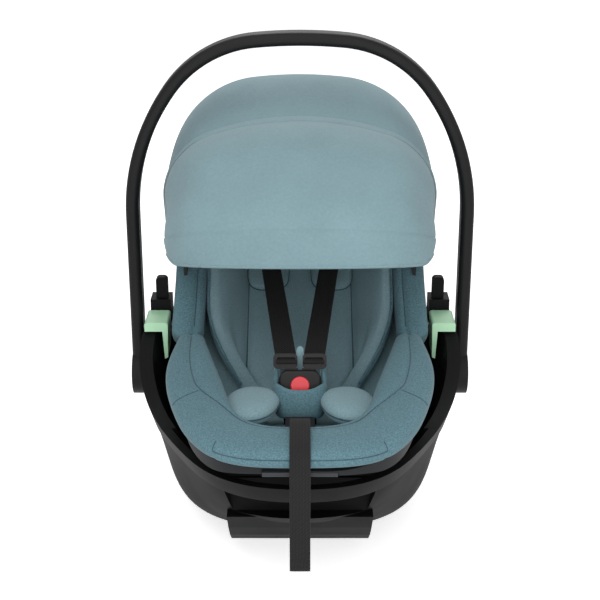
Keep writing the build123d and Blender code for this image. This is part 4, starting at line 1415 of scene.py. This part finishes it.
@dataclass
class Canopy:
    """Folding canopy: two curved panels over two bows that turn about one side pivot."""

    pivot_y: float = 75.0
    pivot_z: float = 290.0
    root: float = 20.0
    thick: float = 2.0
    front: tuple = (
        (97.0, 168.0, 180.0, 330.0, 90.0),
        (114.0, 164.5, 189.0, 330.0, 86.0),
        (132.0, 160.0, 193.0, 330.0, 84.0),
        (150.0, 161.5, 199.0, 330.0, 84.0),
        (165.0, 157.0, 197.0, 330.0, 78.0),
    )
    rear: tuple = (
        (31.5, 162.0, 279.0, 380.0, 120.0),
        (50.0, 162.0, 253.0, 460.0, 120.0),
        (69.0, 162.5, 226.0, 500.0, 110.0),
        (80.0, 165.0, 204.0, 420.0, 100.0),
        (93.0, 168.0, 180.0, 330.0, 90.0),
    )
    hem_angle: float = 153.0
    hem_rise: float = 1.1
    hem_soft: float = 0.25
    hem_seam_before: float = 0.6
    hem_groove: tuple[float, float] = (1.0, 0.5)
    corner_start: float = 0.9
    corner_turn: float = 5.0
    fold_depth: float = 2.5
    fold_width: float = 0.05
    fold_line: tuple[float, float] = (0.84, 0.94)
    rim_slope: float = 33.0
    rim_below: float = 21.0
    cols: int = 120
    front_rows: int = 90
    rear_rows: int = 80
    bow_angle: float = 95.0
    sleeve_half: float = 3.2
    sleeve_rows: int = 15
    sleeve_thick: float = 1.0
    sleeve_edge: float = 0.5
    sleeve_rise: float = 0.9
    sleeve_sunk: float = 0.35
    sleeve_end: tuple[float, float] = (12.0, 14.0)
    binding_radius: float = 2.0
    stitch_radius: float = 0.45

    def arches(self, values: np.ndarray, drop: np.ndarray) -> np.ndarray:
        """Arches as foot line, corner arc, crown arc, corner arc and foot line.

        Args:
            values: Angle, half width, radius, crown radius and corner radius, one row per arch.
            drop: How far each arch is drawn in.

        Returns:
            Grid of arches by points in the row frame.
        """
        angle, half, radius, crown, corner = values.T[:, :, None]
        half, radius = half - drop[:, None], radius - drop[:, None]
        turn = np.arcsin((half - corner) / (crown - corner))
        shoulder = radius - crown * (1 - np.cos(turn)) - corner * np.cos(turn)
        foot = np.linspace(0.0, 1.0, self.cols // 5, endpoint=False)[None]
        bend = foot * (QUARTER - turn)
        sweep = turn * (1.0 - np.linspace(0.0, 1.0, self.cols // 5)[None])
        foot_r, bend_r = self.root + (shoulder - self.root) * foot, shoulder + corner * np.sin(bend)
        x = np.concatenate([half + 0 * foot, half - corner + corner * np.cos(bend), crown * np.sin(sweep)], axis=1)
        r = np.concatenate([foot_r, bend_r, radius - crown * (1 - np.cos(sweep))], axis=1)
        x = np.concatenate([x, -x[:, -2::-1]], axis=1)
        r = np.concatenate([r, r[:, -2::-1]], axis=1)
        return self.about_pivot(x, r, np.radians(angle))

    def about_pivot(self, x: np.ndarray, reach: np.ndarray, angle: np.ndarray) -> np.ndarray:
        """Points across the seat at a reach and an angle over the pivot, in the row frame."""
        y, z = self.pivot_y + reach * np.cos(angle), self.pivot_z + reach * np.sin(angle)
        return np.stack([x, y, z], axis=2)

    def panel(self, table: tuple, rows: int, hem: bool) -> np.ndarray:
        """Sheet through the arches of one panel, with its seams and hem pressed in.

        Args:
            table: Arches of the panel, by rising angle.
            rows: Number of arches in the grid.
            hem: Whether the panel has a sewn hem band at its far edge.

        Returns:
            Grid of arches by points.
        """
        angle = np.linspace(table[0][0], table[-1][0], rows)
        shape = table_at(table, angle)
        drop = np.full(rows, 0.5 * self.thick)
        if hem:
            past = angle - self.hem_angle
            step = 1.0 / (1.0 + np.exp(-past / self.hem_soft))
            drop = drop - self.hem_rise * step - groove(past + self.hem_seam_before, *self.hem_groove)
        grid = self.arches(np.concatenate([angle[:, None], shape], axis=1), drop)
        return self.round_corners(grid) if hem else self.seat_edge(grid)

    def seat_edge(self, grid: np.ndarray) -> np.ndarray:
        """Turn the rear panel's lower edge about the pivot until it lies on the head rim.

        Args:
            grid: Arches of the rear panel by points, with the lower edge first.

        Returns:
            The grid with its lower edge on the rim.
        """
        y, z = grid[:, :, 1] - self.pivot_y, grid[:, :, 2] - self.pivot_z
        reach = np.hypot(y, z)
        rim = math.radians(self.rim_slope) - np.arcsin(np.clip(self.rim_below / reach, 0.0, 0.8))
        near = np.linspace(1.0, 0.0, grid.shape[0])[:, None] ** 2
        angle = np.arctan2(z, y) + near * (rim - math.radians(self.rear[0][0]))
        return self.about_pivot(grid[:, :, 0], reach, angle)

    def round_corners(self, grid: np.ndarray) -> np.ndarray:
        """Turn the hem's lower corners up about the pivot, and press slack folds into the sides.

        Args:
            grid: Arches of the front panel by points.

        Returns:
            The grid with rounded corners and folds.
        """
        row = np.linspace(0.0, 1.0, grid.shape[0])[:, None]
        outward = np.abs(grid[:, :, 0]) / np.abs(grid[:, :, 0]).max(axis=1)[:, None]
        corner = np.clip((outward - self.corner_start) / (1.0 - self.corner_start), 0.0, 1.0) ** 2
        turn = -math.radians(self.corner_turn) * corner * row**4
        y, z = grid[:, :, 1] - self.pivot_y, grid[:, :, 2] - self.pivot_z
        line = self.fold_line[0] + (self.fold_line[1] - self.fold_line[0]) * row
        fold = np.sin(math.pi * row) * groove(outward - line, self.fold_depth, self.fold_width)
        return self.about_pivot(grid[:, :, 0], np.hypot(y, z) + fold, np.arctan2(z, y) + turn)

    def at(self, angle: float, radius: float) -> tuple[float, float, float]:
        """Point over the pivot at an angle and a radius, in metres."""
        a = math.radians(angle)
        return (0.0, (self.pivot_y + radius * math.cos(a)) * MM, (self.pivot_z + radius * math.sin(a)) * MM)

    def cloth(self, name: str, grid: np.ndarray, node: str) -> bpy.types.Object:
        """Make one panel as a stretched sheet of cloth.

        Args:
            name: Name of the piece.
            grid: Arches of the panel by points.
            node: Solid that it stands for.

        Returns:
            The panel.
        """
        piece = thicken(grid_object(name, [grid]), self.thick)
        dress(piece, Slot.CANOPY_FABRIC, node)
        return piece

    def sleeve(self) -> np.ndarray:
        """Lay a sleeve over the middle bow: a low ridge that fades out towards its ends.

        Returns:
            Grid of arches by points.
        """
        angle = self.bow_angle + np.linspace(-self.sleeve_half, self.sleeve_half, self.sleeve_rows)
        rows = np.repeat(np.asarray(self.front, float)[:1], self.sleeve_rows, axis=0)
        rows[:, 0] = angle
        hump = np.cos((angle - self.bow_angle) / self.sleeve_half * QUARTER)
        ridge = self.arches(rows, -self.sleeve_edge - self.sleeve_rise * hump)
        flush = self.arches(rows, np.full(self.sleeve_rows, self.sleeve_sunk))
        column = np.arange(ridge.shape[1])
        inward = np.minimum(column, column[::-1])
        start, over = self.sleeve_end
        fade = np.clip((inward - start) / over, 0.0, 1.0)[None, :, None]
        return flush + fade * (ridge - flush)

    def build(self) -> None:
        """Make both panels, the sleeve and the front binding, and ride the sleeve and the binding on the bows."""
        grid = self.panel(self.front, self.front_rows, True)
        front = self.cloth("canopy_front_cloth", grid, "canopy_front_panel")
        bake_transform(front)
        rear_grid = self.panel(self.rear, self.rear_rows, False)
        rear = self.cloth("canopy_rear_cloth", rear_grid, "canopy_rear_panel")
        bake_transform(rear)
        ridge = self.sleeve()
        sleeve = thicken(grid_object("canopy_sleeve", [ridge]), self.sleeve_thick)
        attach(dress(sleeve, Slot.CANOPY_FABRIC), "canopy_mid")
        edges = list(ridge[[1, -2], 18:-18])
        # The stitching lines take a darker canopy knit, which paints the shade along the sleeve's seams.
        sew("canopy_stitching_shade", edges, self.stitch_radius, Slot.CANOPY_FABRIC, "canopy_mid")
        binding = tube(grid[-1], self.binding_radius)
        closed_piece("canopy_binding", [binding], Slot.CANOPY_FABRIC, "canopy_front")


# Carried-over solids


def dress_solids(frame: dict) -> None:
    """Give every CAD solid that stays in view the finish of its slot.

    A name with braces stands for the left and the right solid.

    Args:
        frame: What loading the frame returned.
    """
    groups = {
        Slot.SHELL_BLACK: ["carrier_shell", "rocker_foot", "shoulder_belt_guide"],
        Slot.BAND_BLACK: ["front_band", "side_arm_{}", "belt_hook_{}"],
        Slot.HANDLE_BLACK: ["handle_bar", "handle_button_{}"],
        Slot.GREY_PLASTIC: ["seat_bucket", "handle_liner", "headrest_shell", "adjuster_body"],
        Slot.LEVER_GREY: ["recline_lever", "adjuster_button"],
        Slot.GREEN_PLASTIC: ["belt_guide_{}"],
        Slot.RED_PLASTIC: ["buckle_button"],
        Slot.BUCKLE_BLACK: ["buckle_body", "tongue_{}"],
        Slot.STEEL: ["foot_screws", "latch_bars", "crotch_anchor", "harness_yoke", "tilt_pin_{}", "handle_pin_{}"],
        Slot.FOAM: ["foam_liner"],
    }
    groups[Slot.GREY_PLASTIC] += ["canopy_front_bow", "canopy_mid_bow", "canopy_bracket_{}"]
    for slot, names in groups.items():
        for name in sorted({name.format(side) for name in names for side, _ in SIDES}):
            solid = frame["nodes"][name]
            solid.data.materials.clear()
            solid.data.materials.append(MATERIALS[slot])


# Springs


@dataclass
class CoilSpring:
    """Compression spring behind a push button, wound as a helix."""

    node: str
    body: str
    joint: str
    axis: tuple[float, float, float]
    length: float
    radius: float
    wire: float
    travel: float
    turns: float = 2.5
    steps: int = 120
    section: int = 10

    def build(self) -> bpy.types.Object:
        """Carry a round wire along a helix that fills the solid's box.

        Returns:
            The coil.
        """
        low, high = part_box(self.node)
        centre = 0.5 * (np.array(low) + np.array(high)) / MM
        axis = np.array(self.axis) / np.linalg.norm(self.axis)
        foot = centre - 0.5 * self.length * axis
        first = np.cross(axis, (0.0, 0.6, 0.8))
        first /= np.linalg.norm(first)
        second = np.cross(axis, first)
        share = np.linspace(0.0, 1.0, self.steps)[:, None]
        turn = TURN * self.turns * share
        outward = np.cos(turn) * first + np.sin(turn) * second
        climb = self.wire + (self.length - 2.0 * self.wire) * share
        path = foot + climb * axis + self.radius * outward
        theta = circle(self.section)[None, :, None]
        grid = path[:, None] + self.wire * (np.cos(theta) * outward[:, None] + np.sin(theta) * axis)
        piece = closed_piece(self.node + "_coil", [grid], Slot.STEEL, self.body, self.node)
        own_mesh(piece)
        return piece


SPRINGS = [
    CoilSpring(
        f"button_spring_{side}",
        "handle",
        f"handle_button_{side}_press",
        axis=(sign, 0.0, 0.0),
        length=6.5,
        radius=11.5,
        wire=0.8,
        travel=4.0,
    )
    for side, sign in SIDES
]
SPRINGS += [
    CoilSpring(
        "buckle_spring",
        "seat",
        "buckle_button_press",
        axis=(0.0, -0.939693, 0.34202),
        length=4.9,
        radius=7.25,
        wire=0.6,
        travel=3.0,
    )
]


# Studio


@dataclass
class Studio:
    """Pale floor, soft lamps, a white surround and the photograph's camera."""

    target: tuple[float, float, float] = (0.0, 0.015, 0.252)
    distance: float = 1.648
    elevation: float = 21.0
    lens: float = 80.0
    sensor: float = 36.0
    floor_half: float = 6.0
    floor_z: float = -0.6
    floor_lift: float = 0.68
    world_strength: float = 0.38

    def camera(self) -> None:
        """Place the camera in front of the seat, looking down on it."""
        data = bpy.data.cameras.new("photo_camera")
        data.lens, data.sensor_width, data.sensor_fit = self.lens, self.sensor, "HORIZONTAL"
        eye = bpy.data.objects.new("photo_camera", data)
        rise = math.radians(self.elevation)
        x, y, z = self.target
        eye.location = (x, y - self.distance * math.cos(rise), z + self.distance * math.sin(rise))
        eye.rotation_euler = (QUARTER - rise, 0.0, 0.0)
        bpy.context.scene.collection.objects.link(eye)
        bpy.context.scene.camera = eye

    def seen(self, tree: bpy.types.NodeTree) -> bpy.types.NodeSocket:
        """Find rays from the camera, a reflection or a see-through piece.

        Args:
            tree: Node tree that takes the nodes.

        Returns:
            Socket that is 1 for such a ray and 0 for any other.
        """
        rays = add_node(tree, "ShaderNodeLightPath").outputs
        direct = {0: rays["Is Camera Ray"], 1: rays["Is Glossy Ray"]}
        near = add_node(tree, MATH, direct, operation="MAXIMUM").outputs[0]
        return add_node(tree, MATH, {0: near, 1: rays["Is Transmission Ray"]}, operation="MAXIMUM").outputs[0]

    def floor(self) -> None:
        """Lay the floor, which the camera sees as white apart from the seat's shadow."""
        edge = np.linspace(-self.floor_half, self.floor_half, 3) / MM
        x, y = np.meshgrid(edge, edge, indexing="ij")
        piece = grid_object("studio_floor", [np.stack([x, y, np.full_like(x, self.floor_z)], axis=2)])
        material, tree, shader = new_material("studio_white")
        wire(tree, shader, {"Base Color": linear("#F4F4F4"), "Roughness": 0.9})
        lift = add_node(tree, MATH, {0: self.seen(tree), 1: self.floor_lift}, operation="MULTIPLY")
        glow = add_node(tree, "ShaderNodeEmission", {"Color": (1, 1, 1, 1), "Strength": lift.outputs[0]})
        both = add_node(tree, "ShaderNodeAddShader", {0: shader.outputs[0], 1: glow.outputs[0]})
        output = next(node for node in tree.nodes if node.type == "OUTPUT_MATERIAL")
        tree.links.new(both.outputs[0], output.inputs["Surface"])
        piece.data.materials.append(material)

    def light(self) -> None:
        """Hang a large key lamp overhead, lamps in front, beside and behind, and an even white surround."""
        world = bpy.data.worlds.new("surround")
        world.use_nodes = True
        bpy.context.scene.world = world
        tree = world.node_tree
        tree.nodes.clear()
        dim, seen = (
            add_node(tree, "ShaderNodeBackground", {"Color": (1, 1, 1, 1), "Strength": strength}).outputs[0]
            for strength in (self.world_strength, 1.0)
        )
        mix = add_node(tree, "ShaderNodeMixShader", {0: self.seen(tree), 1: dim, 2: seen})
        add_node(tree, "ShaderNodeOutputWorld", {"Surface": mix.outputs[0]})
        lamps = (
            ("key_lamp", (-0.4, -1.2, 2.2), 1.8, 22.0),
            ("front_lamp", (0.0, -2.2, 0.7), 1.6, 20.0),
            ("fill_lamp", (1.6, -1.4, 1.2), 1.4, 6.0),
            ("rim_lamp", (0.2, 1.6, 1.8), 1.4, 14.0),
        )
        for name, place, size, power in lamps:
            data = bpy.data.lights.new(name, "AREA")
            data.size, data.energy = size, power
            lamp = bpy.data.objects.new(name, data)
            lamp.location = place
            aim = np.array(self.target) - np.array(place)
            flat = math.hypot(aim[0], aim[1])
            lamp.rotation_euler = (math.atan2(flat, -aim[2]), 0.0, math.atan2(aim[1], aim[0]) - QUARTER)
            bpy.context.scene.collection.objects.link(lamp)
        bpy.context.scene.view_settings.view_transform = "Standard"

    def build(self) -> None:
        """Set up the camera, the floor and the light."""
        self.camera()
        self.floor()
        self.light()


def main() -> None:
    """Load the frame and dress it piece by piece."""
    logging.basicConfig(level=logging.INFO, format="%(name)s %(message)s")
    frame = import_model()
    for slot, finish in FINISHES.items():
        MATERIALS[slot] = finish.build()
    # The darker seam knits paint the shade along seams and stitching.
    SEAM_SHADES.update({Slot.COVER_DARK: SEAM_SHADE.build(), Slot.CANOPY_FABRIC: CANOPY_STITCHING_SHADE.build()})
    Studio().build()
    harness = Harness()
    harness.build_tail()
    dress_solids(frame)
    SEAT_RIM.build()
    HEAD_RIM.build()
    SeatInsert().build()
    Headrest().build()
    for pad in small_pads():
        pad.build()
    BuckleCup().build()
    harness.build()
    Canopy().build()
    for spring in SPRINGS:
        spring.build()


if __name__ == "__main__":
    main()
